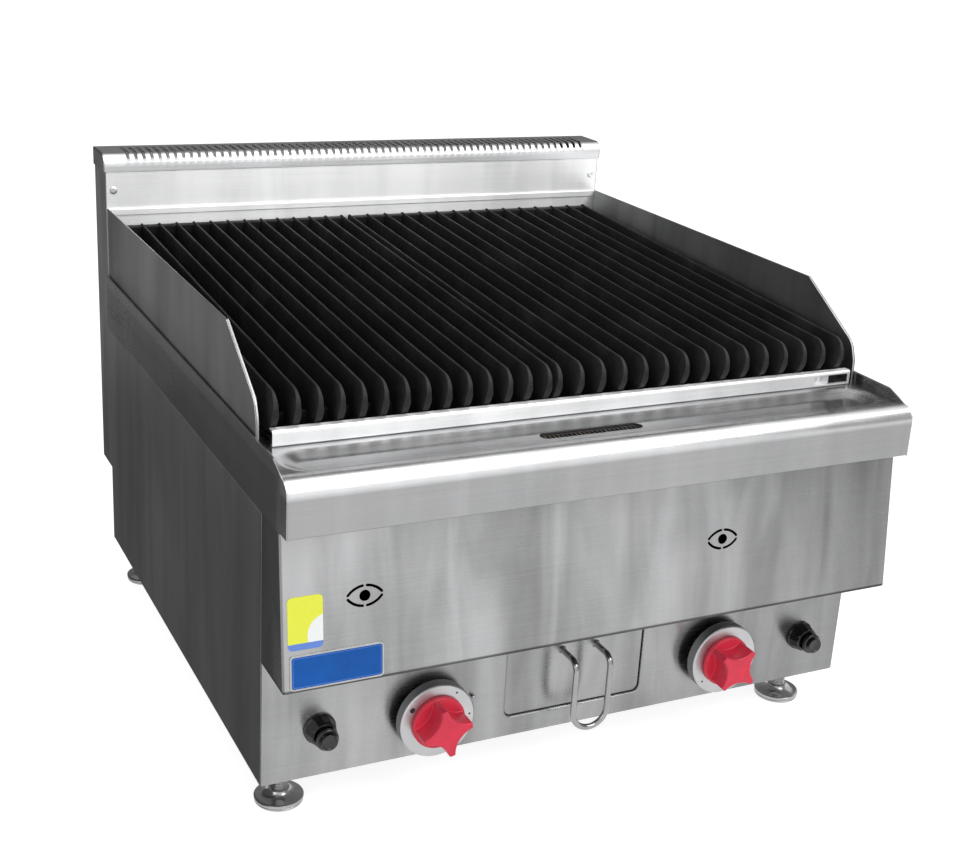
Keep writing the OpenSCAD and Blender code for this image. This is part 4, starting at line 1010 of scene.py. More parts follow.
class GRILL_OT_top_frame(GrillOperator):
    """Adds the top: rounded nosing, pressed gutter with its drain slot, rims and closed ends"""
    bl_idname = "grill.top_frame"
    bl_label = "Top frame"

    def front(self, low, deck, crest, end, hearth, t):
        """Nosing and gutter in one sheet, with the drain slot cut through it"""
        r, depth = self.sizes.nosing_radius / MM, self.sizes.gutter_depth / MM
        gutter_y, gutter_half = low.y + 49, 265.0
        hem, lip = low.z + 1, low.y + 14
        nose = [(lip, hem)] + rounded([(lip, hem), (low.y, hem), (low.y, crest - r)], 1.6, 4, False)[1:]
        nose += front_round(low.y, crest, r, 6, 6)
        nose += [(low.y + 15.5, crest - 0.25), (low.y + 19.5, crest - 1.0), (low.y + 22, deck + 0.15)]
        across = [low.y + 23.2 + i * 1.55 for i in range(35)] + [hearth - 12, hearth]
        fine = [gutter_half + i * 1.6 for i in range(19)]
        stations = [-end] + [-x for x in fine[::-1]] + [-255 + i * 34 for i in range(16)] + fine + [end]
        rings = []
        for x in stations:
            past_end = max(0, abs(x) - gutter_half)
            dips = [channel(sqrt(past_end ** 2 + (y - gutter_y) ** 2), depth) for y in across]
            rings.append([(x, y, z) for y, z in nose] + [(x, y, deck - dip) for y, dip in zip(across, dips)])
        bm = bmesh.new()
        loft(bm, rings, lines=True)
        slot_x, slot_y, slot_half = self.slot()
        knife = bmesh.new()
        push(knife, slot_outline(slot_x, slot_y, slot_half, 6.5), deck - 12, deck + 4)
        return settled(bm, t, knife)

    def slot(self):
        """Middle and half length of the drain slot"""
        low, high = corners("drain_strainer")
        return (low.x + high.x) / 2, (low.y + high.y) / 2 + 2, (high.x - low.x) / 2 - 11.5

    def close_ends(self, bm, low, high, deck, crest, t):
        """Plates that close the ends, each with a rim turned over along its top"""
        r = self.sizes.nosing_radius / MM
        hem, lip, rim_start, half_rim = low.z + 1, low.y + 14, low.y + 35, 1.2
        outline = [(low.y, hem), (low.y, crest - r)] + front_round(low.y, crest, r, 15, 15)
        outline += rounded([(low.y + r, crest), (rim_start, high.z), (high.y, high.z)], 14, 8, False)[1:]
        outline += [(high.y, low.z), (lip, low.z), (lip, hem)]
        for side in (-1, 1):
            plate(bm, [outline[::-1]], t, at(side * (high.x - t / 2), 0, 0, ALONG_X), 0.3)
            x = side * (high.x - 1.25)
            section = [(x + half_rim * u, high.z - half_rim + half_rim * v)
                       for u, v in arc((0, 0), 1, 0, 180)]
            section += [(x - half_rim, deck - 0.5), (x + half_rim, deck - 0.5)]
            push(bm, section, rim_start, high.y - 0.3, ALONG_Y)

    def strainer(self):
        """The sheet with a row of short slots that lies under the drain slot"""
        low, high = corners("drain_strainer")
        slot_x, slot_y = self.slot()[:2]
        count, pitch, thick = 23, 4.2, high.z - low.z
        middles = [slot_x + (i - (count - 1) / 2) * pitch for i in range(count)]
        holes = [[(x, y) for y, x in slot_outline(slot_y - 0.5, centre, 3.3, 1.2, 5)] for centre in middles]
        outline = box_outline(low.x, high.x, low.y, high.y, 2)
        bm = bmesh.new()
        plate(bm, [outline] + holes, thick, at(0, 0, low.z + thick / 2), 0.15)
        add_piece("drain_strainer_sheet", bm, "drain_strainer", "heat_dulled_steel", sharp=35)

    def execute(self, context):
        sheet, end_sheet = 1.5, 1.2
        low, high = corners("top_frame")
        deck = corners("side_guard_left")[0].z
        crest, end = deck + 1.5, high.x - end_sheet
        hearth_x, hearth_y, hearth_back = 283.0, low.y + 93, high.y - 8
        bm = self.front(low, deck, crest, end, hearth_y, sheet)
        # Flat frame round the two sides and the back of the hearth
        outline = [(-end, hearth_y), (-hearth_x, hearth_y), (-hearth_x, hearth_back), (hearth_x, hearth_back),
                   (hearth_x, hearth_y), (end, hearth_y), (end, high.y), (-end, high.y)]
        plate(bm, [outline], sheet, at(0, 0, deck - sheet / 2), 0.2)
        self.close_ends(bm, low, high, deck, crest, end_sheet)
        add_piece("top_sheet", bm, "top_frame", "stainless_top_lit", sharp=38)
        self.strainer()
        return {"FINISHED"}


class GRILL_OT_front_strip(GrillOperator):
    """Adds the folded strip in front of the grates with its notch and clip"""
    bl_idname = "grill.front_strip"
    bl_label = "Front strip"

    def execute(self, context):
        t = self.sizes.sheet / MM
        low, high = corners("front_strip")
        front, foot, head, hem = low.y + t / 2, low.z + t / 2, high.z - t / 2, 5.4
        line = [(low.y + hem, foot), (front, foot), (front, head), (high.y, head)]
        bm = bmesh.new()
        push(bm, strip(rounded(line, [0, 1.4, 1.8, 0], closed=False), t), low.x, high.x, ALONG_X)
        # Notch at the right end, with the clip that shows in it
        notch = high.x - 41
        knife = bmesh.new()
        push(knife, box_outline(notch, high.x - 3, low.z + 2, high.z - 3, 1.5), low.y - 2, low.y + 3, ALONG_Y)
        bm = settled(bm, cutter=knife)
        plate(bm, [box_outline(notch + 4, notch + 20, low.z + t, high.z - t, 1.0)], t,
              at(0, low.y + 6 - t / 2, 0, ALONG_Y), 0.2)
        add_piece("front_strip_sheet", bm, "front_strip", "stainless_lit", edge=0.15, sharp=28)
        return {"FINISHED"}


class GRILL_OT_guards(GrillOperator):
    """Adds the splash guards: two shaped side plates with turned front edges, and the rear one"""
    bl_idname = "grill.guards"
    bl_label = "Guards"

    def execute(self, context):
        for side, node in ((-1, "side_guard_left"), (1, "side_guard_right")):
            low, high = corners(node)
            knee, shoulder = low.y + 82.5, low.y + 7
            front = rounded([(high.y, high.z), (knee, high.z), (shoulder, high.z - 45),
                             (low.y + 0.4, high.z - 62), (low.y, low.z)], [0, 5, 18, 24, 0], 8, False)
            t = high.x - low.x
            bm = bmesh.new()
            plate(bm, [(front + [(high.y, low.z)])[::-1]], t, at((low.x + high.x) / 2, 0, 0, ALONG_X), 0.4)
            # Front edge turned in as a narrow band
            turn_in, lap = 2.6, 1.4
            outer, inner = (high.x, high.x - turn_in) if side > 0 else (low.x, low.x + turn_in)
            edge_line = front[1:]
            band = [(outer, 0.15), (outer, 0.75), (outer - side * 0.3, 1.2), (inner, 1.2), (inner, 0.0),
                    (outer - side * 0.45, 0.0)]
            loft(bm, [[(x, *Vector(a).lerp(Vector(b), depth / lap)) for x, depth in band]
                      for a, b in zip(beside(edge_line, 0.0), beside(edge_line, lap))])
            add_piece(node + "_sheet", bm, node, "stainless_side", sharp=35)
        low, high = corners("rear_guard")
        bm = bmesh.new()
        sheet, roll, lap = 1.5, 1.45, 7.0
        section = [(high.y - sheet, low.z), (high.y, low.z), (high.y, high.z - sheet)]
        section += arc((high.y - roll, high.z - roll), roll, 0, 180)
        section += [(low.y + 0.1, high.z - lap), (low.y + 0.9, high.z - lap - 0.4),
                    (high.y - sheet, high.z - lap)]
        push(bm, section, low.x, high.x, ALONG_X)
        add_piece("rear_guard_sheet", bm, "rear_guard", "stainless_lit", edge=0.15, sharp=35)
        return {"FINISHED"}


# ---------------- flue

class CapLine:
    """The cap's section as one line: up the front, round a corner, back along the top and down the back"""

    def __init__(self, low, high, r, back_r):
        self.low, self.high, self.r, self.back_r = low, high, r, back_r
        self.flat = high.z - r
        self.front, self.corner = self.flat - low.z, r * pi / 2
        self.top, self.back_corner = high.y - low.y - r - back_r, back_r * pi / 2
        self.back = high.z - back_r - low.z
        self.total = self.front + self.corner + self.top + self.back_corner + self.back

    def spot(self, x, way):
        """Point of the cap at a distance along the line, measured from the lip at the front"""
        low, high, r, back_r = self.low, self.high, self.r, self.back_r
        if way <= self.front:
            return (x, low.y, low.z + way)
        way -= self.front
        if way <= self.corner:
            a = way / r
            return (x, low.y + r - r * cos(a), self.flat + r * sin(a))
        way -= self.corner
        if way <= self.top:
            return (x, low.y + r + way, high.z)
        way -= self.top
        if way <= self.back_corner:
            a = way / back_r
            return (x, high.y - back_r + back_r * sin(a), high.z - back_r + back_r * cos(a))
        return (x, high.y, high.z - back_r - (way - self.back_corner))

    def quad(self, bm, points):
        bm.faces.new([bm.verts.new(self.spot(*p)) for p in points])

    def grid(self, bm, ways, xs):
        for w0, w1 in zip(ways, ways[1:]):
            for xa, xb in zip(xs, xs[1:]):
                self.quad(bm, [(xa, w0), (xb, w0), (xb, w1), (xa, w1)])

    def outline(self):
        """The whole section, closed along its foot"""
        low, high, r, back_r = self.low, self.high, self.r, self.back_r
        points = [(low.y, low.z), (low.y, self.flat)] + front_round(low.y, high.z, r, 9, 9)
        points += [(high.y - back_r + back_r * sin(radians(a)), high.z - back_r + back_r * cos(radians(a)))
                   for a in range(0, 91, 18)]
        return points + [(high.y, low.z)]


class GRILL_OT_flue(GrillOperator):
    """Adds the flue box and its slotted cap"""
    bl_idname = "grill.flue"
    bl_label = "Flue"

    def box(self):
        """The open box with the duct's opening in its front"""
        low, high = corners("flue_box")
        t = self.sizes.sheet / MM
        bm = bmesh.new()
        outline = box_outline(low.x, high.x, low.y, high.y, 1.8, 5)
        inner = box_outline(low.x + t, high.x - t, low.y + t, high.y - t, 0.8, 5)
        loft(bm, [[(x, y, z) for x, y in points] for points, z in (
            (inner, low.z + t), (inner, high.z), (outline, high.z), (outline, low.z))])
        duct_half, duct_low, duct_high = 250, 185.0, 300.0
        duct = box_outline(-duct_half, duct_half, duct_low, duct_high, 3)
        knife = bmesh.new()
        push(knife, duct, low.y - 2, low.y + t + 2, ALONG_Y)
        add_piece("flue_box_sheet", settled(bm, cutter=knife), "flue_box", "stainless_lit", sharp=32)

    def cap(self):
        """The cap: a sheet with round-ended slots over its front corner, and two end plates"""
        s = self.sizes
        low, high = corners("flue_cap")
        line = CapLine(low, high, 11.0, 2.5)
        wide, end = s.cap_slot_width / MM / 2, 1.0
        pitch = 547.0 / 64 * 65 / s.cap_slots
        reach = pitch * s.cap_slots / 2
        # A slot begins on the lower part of the front corner and ends on the top
        rise, slot_back = high.z - 9 - line.flat, high.y - 13
        begin = line.front + line.r * atan2(rise, sqrt(max(0.01, line.r * line.r - rise ** 2)))
        stop = line.front + line.corner + (slot_back - low.y - line.r)
        a0, a1 = begin + wide, stop - wide
        body = [a0 + (a1 - a0) * i / 16 for i in range(17)]
        lower = [0, 1.2, max(1.6, line.front * 0.6), begin - 1.4]
        lower = sorted(set(round(w, 4) for w in lower if w < begin - 0.3))
        upper = [stop + 1.6, line.front + line.corner + high.y - low.y - line.r - 2.6]
        bend = line.total - line.back
        upper += [bend - line.back_corner * f for f in (0.75, 0.5, 0.25, 0.0)]
        upper += [line.total - 1.2, line.total]
        bm = bmesh.new()
        for i in range(s.cap_slots):
            x = (i - (s.cap_slots - 1) / 2) * pitch
            left, right = x - pitch / 2, x + pitch / 2
            for ways in (lower, upper):
                line.grid(bm, ways, [left, x - wide, x, x + wide, right])
            for xs in ([left, x - wide], [x + wide, right]):
                line.grid(bm, body, xs)
            for near, far, sign in ((lower[-1], a0, -1), (upper[0], a1, 1)):
                inside = [(x + wide * cos(radians(a)), far + sign * wide * sin(radians(a)))
                          for a in (180, 150, 120, 90, 60, 30, 0)]
                outside = [(left, far), (left, near), (x - wide, near), (x, near), (x + wide, near),
                           (right, near), (right, far)]
                for k in range(6):
                    line.quad(bm, [inside[k], inside[k + 1], outside[k + 1], outside[k]])
        for xs in ((low.x + end, -reach), (reach, high.x - end)):
            line.grid(bm, lower + body + upper, xs)
        bm = settled(bm, 1.0)
        for x in (low.x + end / 2, high.x - end / 2):
            plate(bm, [line.outline()], end, at(x, 0, 0, ALONG_X), 0.3)
        add_piece("flue_cap_sheet", bm, "flue_cap", "stainless_cap_lit", sharp=40)

    def execute(self, context):
        self.box()
        self.cap()
        return {"FINISHED"}


# ---------------- grates

class GRILL_OT_grates(GrillOperator):
    """Adds the two cast grates: deep tapered bars with rounded noses, a rear web and low cross webs"""
    bl_idname = "grill.grates"
    bl_label = "Grates"

    def bar(self, bm, x, long, place, sway):
        """One bar from its round nose to its square back; x is its middle line"""
        s = self.sizes
        wide, deep, edge = s.bar_width / MM, s.bar_depth / MM, s.bar_edge / MM
        crest, foot = s.bar_crest / MM, s.bar_foot / MM
        # The nose is a round of this height above its tip and a larger one below it
        top, chin = 13.0, deep - 13.0
        tail, back_ease = 27.0, 1.2
        rows = [0.0, 0.3, 0.9, 1.8, 3.0, 4.6, 6.6, 9.0, 12.0, 15.5, 19.5, 23.5, tail]
        rows += [tail + (long - (tail + back_ease)) * i / 24 for i in range(1, 25)] + [long]
        rings = []
        for y in rows:
            high = -top + sqrt(max(0.0, top ** 2 - (top - min(y, top)) ** 2))
            low = -top - sqrt(max(0.0, chin ** 2 - (chin - min(y, chin)) ** 2))
            high -= 1.0 if y == long else 0.0
            high, low = max(high, -top + 0.4), min(low, -top - 0.6)
            tall = high - low
            e = min(edge, tall * 0.2)
            slim = {0.0: 0.7, 0.3: 0.25}.get(y, 0.0)
            sink = 0.05 * (1 + sin(y * 0.06 + sway * 1.7)) if 20 < y < long - 2 else 0.0
            wander = (0.12 * sin(y * 0.045 + sway * 2.1) + 0.07 * sin(y * 0.13 + sway * 5.3)) * min(1, y / 40)
            levels = [(0, e), (0.3 * e, 0.3 * e), (e, 0)]
            levels += [(tall * f, 0) for f in (0.15, 0.3, 0.5, 0.7, 0.87)]
            levels += [(tall - e, 0), (tall - 0.3 * e, 0.3 * e), (tall, e)]
            side = []
            for down, cut in levels:
                z = high - down
                f = -z / deep
                half = (crest + (wide - crest) * 2 * f if f < 0.5 else wide + (foot - wide) * (2 * f - 1)) / 2
                side.append((half - cut * 0.8 - slim, z - (sink if down <= e else 0.0)))
            outline = side + [(-half, z) for half, z in side[::-1]]
            rings.append([place @ Vector((x + u + wander, y, z)) for u, z in outline])
        loft(bm, rings)

    def execute(self, context):
        s = self.sizes
        wide, deep, rise = s.bar_width / MM, s.bar_depth / MM, s.grate_rise
        long, back = 513.0, 8.0
        for side, bars in (("left", s.left_bars), ("right", s.right_bars)):
            node = "grate_" + side
            low, high = corners(node)
            origin = Vector((0, high.y - long * cos(rise) - deep * sin(rise), high.z - long * sin(rise)))
            place = Matrix.Translation(origin) @ Matrix.Rotation(rise, 4, "X")
            first, last = low.x + wide / 2, high.x - wide / 2
            bm = bmesh.new()
            for k in range(bars):
                self.bar(bm, first + (last - first) * k / (bars - 1), long, place, k + 1)
            webs = [[(long - back, -deep), (long, -deep), (long, -2.4), (long - 0.8, -1.6),
                     (long - back + 0.8, -1.6), (long - back, -2.4)]]
            webs += [[(y, -deep), (y + 6, -deep), (y + 5.4, 10.6 - deep), (y + 4.4, 12 - deep),
                      (y + 1.6, 12 - deep), (y + 0.6, 10.6 - deep)] for y in (26.0, long * 0.36, long * 0.68)]
            for web in webs:
                loft(bm, [[place @ Vector((x, y, z)) for y, z in web] for x in (first, last)])
            add_piece(node + "_casting", bm, node, "grate_iron", sharp=40)
        return {"FINISHED"}


# ---------------- controls

class GRILL_OT_knobs(GrillOperator):
    """Adds the knobs: turned dials with their marks, and scooped red grips"""
    bl_idname = "grill.knobs"
    bl_label = "Knobs"

    def dial(self, node, turn):
        """The dial with its sunk marks and the paint in them, and a black ring over the hollow back as
        painted shade
        """
        low, high = corners(node)
        hub = middle(node)
        r, deep, bore = (high.z - low.z) / 2, high.y - low.y, 4.2
        bevel, wall, boss, web = 1.2, 2.7, 9, 3.0
        line = rounded([(bore, 0), (r - bevel, 0), (r, bevel), (r, deep), (r - wall, deep), (r - wall, web),
                        (boss, web), (boss, deep - 1), (bore, deep - 1)],
                       [0.2, 0.4, 0.5, 0.4, 0.3, 0.6, 0.6, 0.4, 0.2], 3)
        bm, knife, fill = bmesh.new(), bmesh.new(), bmesh.new()
        turned(bm, line, at(0, low.y - hub.y, 0, ALONG_Y), 96, True)
        for angle, reach, size in ((148, r - 6, 2.6), (56, r - 5, 1.0), (3, r - 5, 1.0)):
            a = radians(angle + turn)
            spot = at(reach * cos(a), low.y - hub.y, reach * sin(a), ALONG_Y)
            turned(knife, [(0, -1), (size, -1), (size, 0.5), (0, 0.5)], spot, 20)
            turned(fill, [(0, 0.22), (size - 0.25, 0.26), (size - 0.05, 0.45), (size - 0.05, 0.7), (0, 0.7)],
                   spot, 20)
        add_piece(node + "_turned", settled(bm, cutter=knife), node, "dial_aluminium", centre=hub)
        # Painted shade: a black ring in the hollow back, so that the panel mirrors the dial's back dark
        shade_ring_inner, edge = boss + 0.4, r - wall - 0.1
        turned(fill, [(shade_ring_inner, 0), (edge, 0), (edge, 0.8), (shade_ring_inner, 0.8)],
               at(0, high.y - hub.y - 1.1, 0, ALONG_Y), closed=True)
        add_piece(node + "_marks_and_shade_ring", fill, node, "mark_and_shade_paint", centre=hub)

    def grip_outline(self):
        """Four scoops between round tips, seen from the front"""
        tip_r, side_r, scoop, tip_edge = 23.0, 13.0, self.sizes.grip_scoop / MM, 1.3
        away = side_r + scoop
        cut = acos((tip_r ** 2 + away ** 2 - scoop ** 2) / (2 * tip_r * away))
        touch = Vector((tip_r * cos(cut) - away, tip_r * sin(cut)))
        span = atan2(touch.y, -touch.x) * 180 / pi
        outline, radii = [], []
        for quarter in range(4):
            turn_by = Matrix.Rotation(radians(45 + 90 * quarter), 2)
            outline += [tuple(turn_by @ Vector(p)) for p in arc((away, 0), scoop, 180 + span, 180 - span, 12)]
            tip = radians(90 + 90 * quarter)
            outline.append((tip_r * cos(tip), tip_r * sin(tip)))
            radii += [tip_edge] + [0] * 11 + [tip_edge, 0]
        return rounded(outline, radii, 4)

    def grip(self, node, turn):
        """The grip on its round foot"""
        low, high = corners(node)
        hub = middle(node)
        h, foot_r, foot = high.y - low.y, 24.5, 4.0
        place = at(0, high.y - hub.y, 0) @ Matrix.Rotation(-radians(turn), 4, "Y") @ FRONTWARD
        outline = self.grip_outline()
        bm = bmesh.new()
        turned(bm, [(0, 0), (foot_r - 0.4, 0), (foot_r, 0.4), (foot_r, foot - 1.0),
                    (foot_r - 0.3, foot - 0.4), (foot_r - 1.0, foot - 0.05), (foot_r - 1.8, foot), (0, foot)],
               place, 96)
        rings = [ring(beside(outline, inset, True), z, place) for inset, z in (
            (-0.9, foot - 0.2), (-0.9, foot), (-0.35, foot + 0.25), (0.0, foot + 1.0), (0.0, h - 6),
            (0.0, h - 1.3), (0.25, h - 0.55), (0.75, h - 0.12), (1.4, h))]
        # The face is dished a little towards its middle
        last = beside(outline, 1.4, True)
        rings += [ring([(x * share, y * share) for x, y in last], z, place)
                  for share, z in ((0.75, h - 0.12), (0.45, h - 0.3), (0.15, h - 0.38))]
        loft(bm, rings)
        add_piece(node + "_moulding", bm, node, "red_plastic", sharp=42, centre=hub)

    def execute(self, context):
        for side, grip_turn, dial_turn in (("left", 12.0, 0.0), ("right", 48.0, 216.0)):
            self.dial("dial_" + side, dial_turn)
            self.grip("grip_" + side, grip_turn)
        bm = bmesh.new()
        low, high = corners("index_pins")
        r, straight = 1.8, 2.4
        dome = [(r * cos(radians(a)), straight + r * sin(radians(a))) for a in (20, 40, 60, 80)]
        for x in (low.x + r, high.x - r):
            turned(bm, [(0, -0.8), (r, -0.8), (r, straight)] + dome + [(0, 4.2)],
                   at(x, high.y, (low.z + high.z) / 2, FRONTWARD), 32)
        add_piece("index_pin_domes", bm, "index_pins", "bright_steel", sharp=40)
        return {"FINISHED"}


class GRILL_OT_igniters(GrillOperator):
    """Adds the piezo igniters: faceted conical collars and mushroom buttons"""
    bl_idname = "grill.igniters"
    bl_label = "Igniters"

    # Radius and height of each ring, measured from the panel's face
    COLLAR = [(10.0, -41), (10.0, 0), (14.0, 0), (14.4, 0.4), (14.4, 2.2), (14.1, 2.8), (13.8, 3.1),
              (13.7, 3.4), (12.9, 6.4), (12.1, 9.8), (11.5, 12.5), (11.2, 13.0), (11.0, 13.4), (10.9, 13.7),
              (10.4, 14), (9.2, 14), (8.7, 13.4), (8.4, 3), (8.3, -8), (0.05, -8)]
    BUTTON = [(0.05, -3), (7.9, -3), (7.9, 14.6), (8.1, 16.6), (8.7, 17.9), (9.6, 18.6), (9.95, 19.1),
              (10, 20.4), (9.8, 21.2), (9.2, 21.7), (8.6, 21.9), (8.2, 23.0), (7.9, 24.6), (7.5, 25.6),
              (6.9, 26.0), (6.1, 25.9), (5.6, 25.3), (3.0, 24.9), (0.05, 24.8)]

    def reach(self, radius, z, a):
        """Radius at an angle: the collar's cone has flats, all the rest is round"""
        cone_low, cone_high, flats = 3.4, 12.5, 12
        off = (a % (2 * pi / flats)) - pi / flats
        return radius * (cos(pi / flats) / cos(off) * 1.025 if cone_low <= z <= cone_high else 1.0)

    def execute(self, context):
        panel = corners("control_panel")[0].y
        turns = [2 * pi * k / 96 for k in range(96)]
        for side in SIDES:
            spot = middle("igniter_body_" + side)
            place = at(spot.x, panel, spot.z, FRONTWARD)
            for node, rows in (("igniter_body_", self.COLLAR), ("igniter_button_", self.BUTTON)):
                rings = []
                for radius, z in rows:
                    reaches = [(self.reach(radius, z, a), a) for a in turns]
                    rings.append(ring([(r * cos(a), r * sin(a)) for r, a in reaches], z, place))
                bm = bmesh.new()
                loft(bm, rings)
                add_piece(node + side + "_moulding", bm, node + side, "black_plastic", sharp=24)
        return {"FINISHED"}


# ---------------- drawer

class GRILL_OT_drawer(GrillOperator):
    """Adds the drawer's front plate and its bent wire handle"""
    bl_idname = "grill.drawer"
    bl_label = "Drawer"

    def execute(self, context):
        low, high = corners("drawer_front")
        outline = box_outline(low.x, high.x, low.z, high.z, [6.4, 6.4, 1.0, 1.0], 8)
        bm = bmesh.new()
        plate(bm, [outline], high.y - low.y, at(0, (low.y + high.y) / 2, 0, ALONG_Y), 0.4)
        add_piece("drawer_front_sheet", bm, "drawer_front", "stainless_across", sharp=40)

        r, cad_r, bend = self.sizes.handle_radius / MM, 2.8, 10.0
        grip_low, grip_high = corners("drawer_handle")
        x0, half = (grip_low.x + grip_high.x) / 2, (grip_high.x - grip_low.x) / 2 - cad_r
        leg, top = grip_low.y + cad_r, grip_high.z - cad_r
        loop = grip_low.z + cad_r + half
        side = [(-half, grip_high.y + 0.2, top), (-half, grip_high.y - 6, top)]
        side += [(-half, leg + bend - bend * sin(radians(a)), top - bend + bend * cos(radians(a)))
                 for a in range(0, 91, 10)]
        side += [(-half, leg, top - bend - (top - bend - loop) * f) for f in (0.33, 0.66)]
        round_end = [(-half * cos(radians(a)), leg, loop - half * sin(radians(a))) for a in range(0, 181, 9)]
        path = side + round_end + [(-x, y, z) for x, y, z in side[::-1]]
        bm = bmesh.new()
        rod(bm, [(x + x0, y, z) for x, y, z in path], r, 24)
        # A weld bead where each stub meets the plate
        bead = [(0, -0.4), (r + 1.3, -0.4), (r + 1.1, 0.25), (r + 0.6, 0.7), (r + 0.15, 1.5), (0, 1.5)]
        for x in (x0 - half, x0 + half):
            turned(bm, bead, at(x, low.y, top, FRONTWARD), 32)
        add_piece("drawer_handle_wire", bm, "drawer_handle", "drawn_wire", sharp=45)
        return {"FINISHED"}


# ---------------- feet, badge, label and screws

class GRILL_OT_feet(GrillOperator):
    """Adds the flanged adjustable feet with their threads"""
    bl_idname = "grill.feet"
    bl_label = "Feet"

    def execute(self, context):
        for node in ("foot_front_left", "foot_front_right", "foot_rear_left", "foot_rear_right"):
            high, spot = corners(node)[1], middle(node)
            stem, shoulder = 7.5, high.z - 24
            line = [(0, 0), (20.4, 0), (21.2, 0.35), (21.6, 1.1), (21.6, 2.0), (21.2, 2.35), (21.3, 2.7),
                    (21.9, 3.0), (22, 3.5), (22, 4.8), (21.8, 5.5), (21.2, 6.0), (20.2, 6.25), (17.5, 6.6),
                    (14.5, 7.3), (11.8, 8.6), (10.2, 10.2), (9.5, 11.4), (9.2, 12.0), (stem + 0.6, 12.3)]
            # Coarse thread in sight, then the finer one inside the sleeve
            root, pitch, z = stem - 0.65, 1.6, 12.6
            while z < shoulder - pitch:
                line += [(root, z), (stem, z + 0.55), (stem, z + 0.85), (root, z + 1.45)]
                z += pitch
            line += [(root, shoulder - 0.3), (stem - 0.2, shoulder)]
            stem, root, pitch, z = 5.95, 5.35, 1.75, shoulder + 0.4
            line += [(stem, shoulder)]
            while z < high.z - 2.4:
                line += [(root, z), (stem, z + 0.6), (stem, z + 0.85), (root, z + 1.5)]
                z += pitch
            line += [(5.3, high.z - 1.0), (4.6, high.z), (0, high.z)]
            bm = bmesh.new()
            turned(bm, line, at(spot.x, spot.y, 0))
            add_piece(node + "_turned", bm, node, "bright_steel", sharp=28)
        return {"FINISHED"}


class GRILL_OT_badge_and_label(GrillOperator):
    """Adds the plain enamel badge with its bright border, and the plain printed label"""
    bl_idname = "grill.badge_and_label"
    bl_label = "Badge and label"

    def on_panel(self, node):
        """Placement on the leaning panel under the middle of a node, with Z out of the panel"""
        low, high = corners("front_panel")
        seam = corners("side_panel_left")[1].z
        lean = atan2(LEAN, high.z - 14 - low.z)
        spot = middle(node)
        down = (seam - spot.z) / cos(lean)
        return at(spot.x, low.y + LEAN, seam, Matrix.Rotation(-lean, 4, "X")) @ at(0, 0, -down) @ FRONTWARD

    def frame_of(self, bm, wide, tall, place, rows, radius, shrink=0.0):
        """A raised frame round the badge; rows are (distance from its edge, height)"""
        loft(bm, [ring(box_outline(-wide + inset, wide - inset, -tall + inset, tall - inset,
                                   radius - inset * shrink), z, place) for inset, z in rows], joined=True)

    def execute(self, context):
        place = self.on_panel("badge_plate")
        wide, tall, radius, field = 40.0, 15.0, 3.4, 1.6
        bm = bmesh.new()
        plate(bm, [box_outline(-wide, wide, -tall, tall, radius)], 0.8, place @ at(0, 0, 0.4), 0.3)
        self.frame_of(bm, wide, tall, place, [(0.0, 0.6), (0.25, 0.95), (0.9, 1.0), (1.5, 0.95), (1.75, 0.6)],
                      radius, 0.8)
        add_piece("badge_backing", bm, "badge_plate", "bright_steel", sharp=40)
        bm = bmesh.new()
        plate(bm, [box_outline(-wide + field, wide - field, -tall + field, tall - field, 2.2)], 0.3,
              place @ at(0, 0, 0.76), 0.1)
        add_piece("badge_field", bm, "badge_plate", "blue_enamel", sharp=40)
        bm = bmesh.new()
        self.frame_of(bm, wide, tall, place, [(2.5, 0.88), (2.55, 0.95), (2.85, 0.95), (2.9, 0.88)], 1.8)
        add_piece("badge_line", bm, "badge_plate", "line_enamel", sharp=40)

        half_wide, half_tall = 14.7, 22.3
        bm = bmesh.new()
        plate(bm, [box_outline(-half_wide, half_wide, -half_tall, half_tall, 4.0)], 0.28,
              self.on_panel("label_plate") @ at(0, 0, 0.15), 0.08)
        add_piece("label_sheet", bm, "label_plate", "label_film", sharp=40)
        return {"FINISHED"}


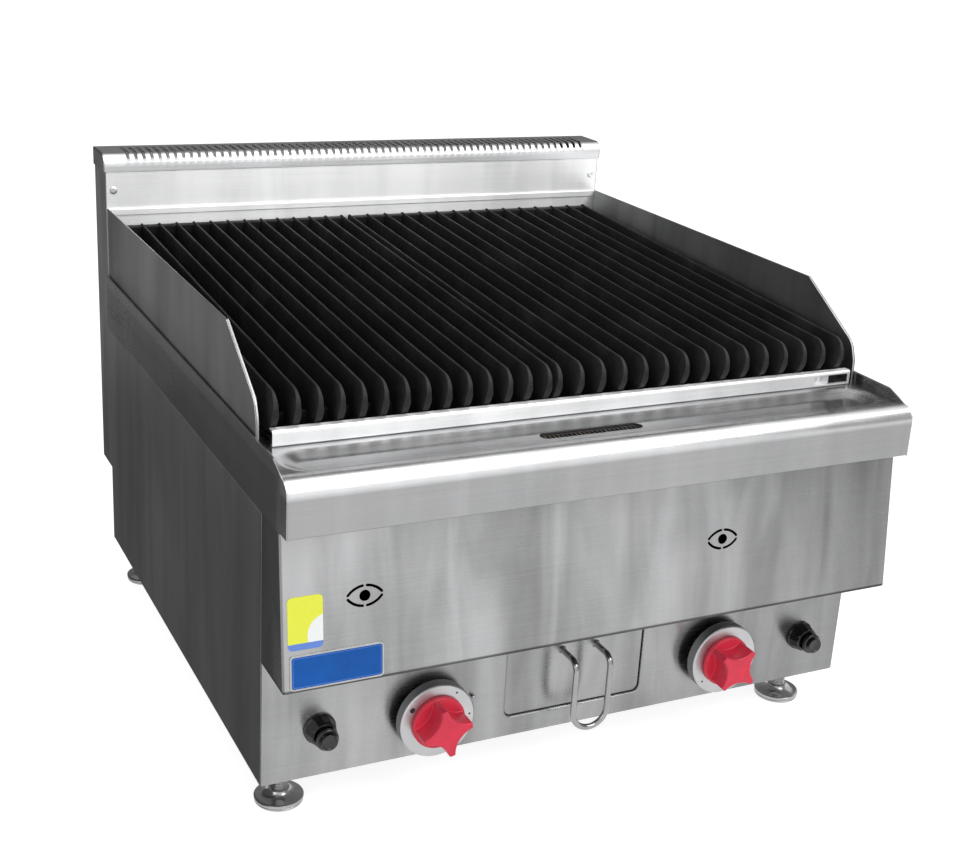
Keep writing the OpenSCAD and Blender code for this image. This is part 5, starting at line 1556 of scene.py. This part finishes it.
class GRILL_OT_screws(GrillOperator):
    """Adds the pan-head screws with their cross recesses"""
    bl_idname = "grill.screws"
    bl_label = "Screws"

    def execute(self, context):
        r, h, recess_turn = 4.0, 0.9, 0.3
        head = bmesh.new()
        turned(head, [(0, 0), (r, 0), (r, 0.25), (r - 0.35, 0.55), (r - 1.1, 0.78), (r - 2.2, 0.88), (0, h)],
               steps=40)
        for turn in (recess_turn, recess_turn + pi / 2):
            knife = bmesh.new()
            push(knife, box_outline(-1.9, 1.9, -0.42, 0.42, 0.3), 0.3, 2.0, Matrix.Rotation(turn, 4, "Z"))
            head = settled(head, cutter=knife)
        mesh = mesh_of("head", head)
        flue_low, flue_high = corners("flue_box")
        strip_low = corners("front_strip")[0]
        under = corners("front_panel")[0]
        control_y = corners("control_panel")[0].y
        # On the flue's front and back, its duct, the front strip and the underside
        spots = [((x, flue_low.y, 436), "front") for x in (-290, 290)]
        spots += [((x, flue_high.y, z), "back") for x in (-280, -140, 0, 140, 280) for z in (135, 440)]
        spots += [((x, flue_low.y, z), "back") for x in (-285, 285) for z in (50, 108)]
        spots += [((256, strip_low.y + 4.8, strip_low.z + 7), "front")]
        spots += [((x, control_y - 30, under.z), "under") for x in (-270, 270)]
        facing = {"front": FRONTWARD, "back": Matrix.Rotation(-pi / 2, 4, "X"),
                  "under": Matrix.Rotation(pi, 4, "X")}
        bm = bmesh.new()
        for i, (spot, way) in enumerate(spots):
            one = mesh.copy()
            one.transform(Matrix.Translation(spot) @ facing[way] @ Matrix.Rotation(0.7 * i, 4, "Z"))
            pour(bm, one)
        bpy.data.meshes.remove(mesh)
        add_piece("screw_heads", bm, "screws", "screw_steel", sharp=35)
        return {"FINISHED"}


# ---------------- panel and registration

PIECES = [GRILL_OT_finishes, GRILL_OT_side_panels, GRILL_OT_front_panel, GRILL_OT_control_panel,
          GRILL_OT_top_frame, GRILL_OT_front_strip, GRILL_OT_guards, GRILL_OT_flue, GRILL_OT_grates,
          GRILL_OT_knobs, GRILL_OT_igniters, GRILL_OT_drawer, GRILL_OT_feet, GRILL_OT_badge_and_label,
          GRILL_OT_screws]


class GRILL_PT_sidebar(bpy.types.Panel):
    """Lists the sizes, the colours and the steps"""
    bl_label = "Grill"
    bl_idname = "GRILL_PT_sidebar"
    bl_space_type = "VIEW_3D"
    bl_region_type = "UI"
    bl_category = "Grill"

    def draw(self, context):
        column = self.layout.column(align=True)
        for step in [GRILL_OT_stage] + PIECES:
            column.operator(step.bl_idname)
        for group in (context.scene.grill_sizes, context.scene.grill_colours):
            column = self.layout.column()
            for name in group.__annotations__:
                column.prop(group, name)


CLASSES = [GrillSizes, GrillColours, GRILL_OT_stage] + PIECES + [GRILL_PT_sidebar]


def register():
    for item in CLASSES:
        bpy.utils.register_class(item)
    bpy.types.Scene.grill_sizes = bpy.props.PointerProperty(type=GrillSizes)
    bpy.types.Scene.grill_colours = bpy.props.PointerProperty(type=GrillColours)


def unregister():
    del bpy.types.Scene.grill_colours
    del bpy.types.Scene.grill_sizes
    for item in reversed(CLASSES):
        bpy.utils.unregister_class(item)


def main():
    register()
    for step in PIECES + [GRILL_OT_stage]:
        group, name = step.bl_idname.split(".")
        getattr(getattr(bpy.ops, group), name)()


if __name__ == "__main__":
    main()
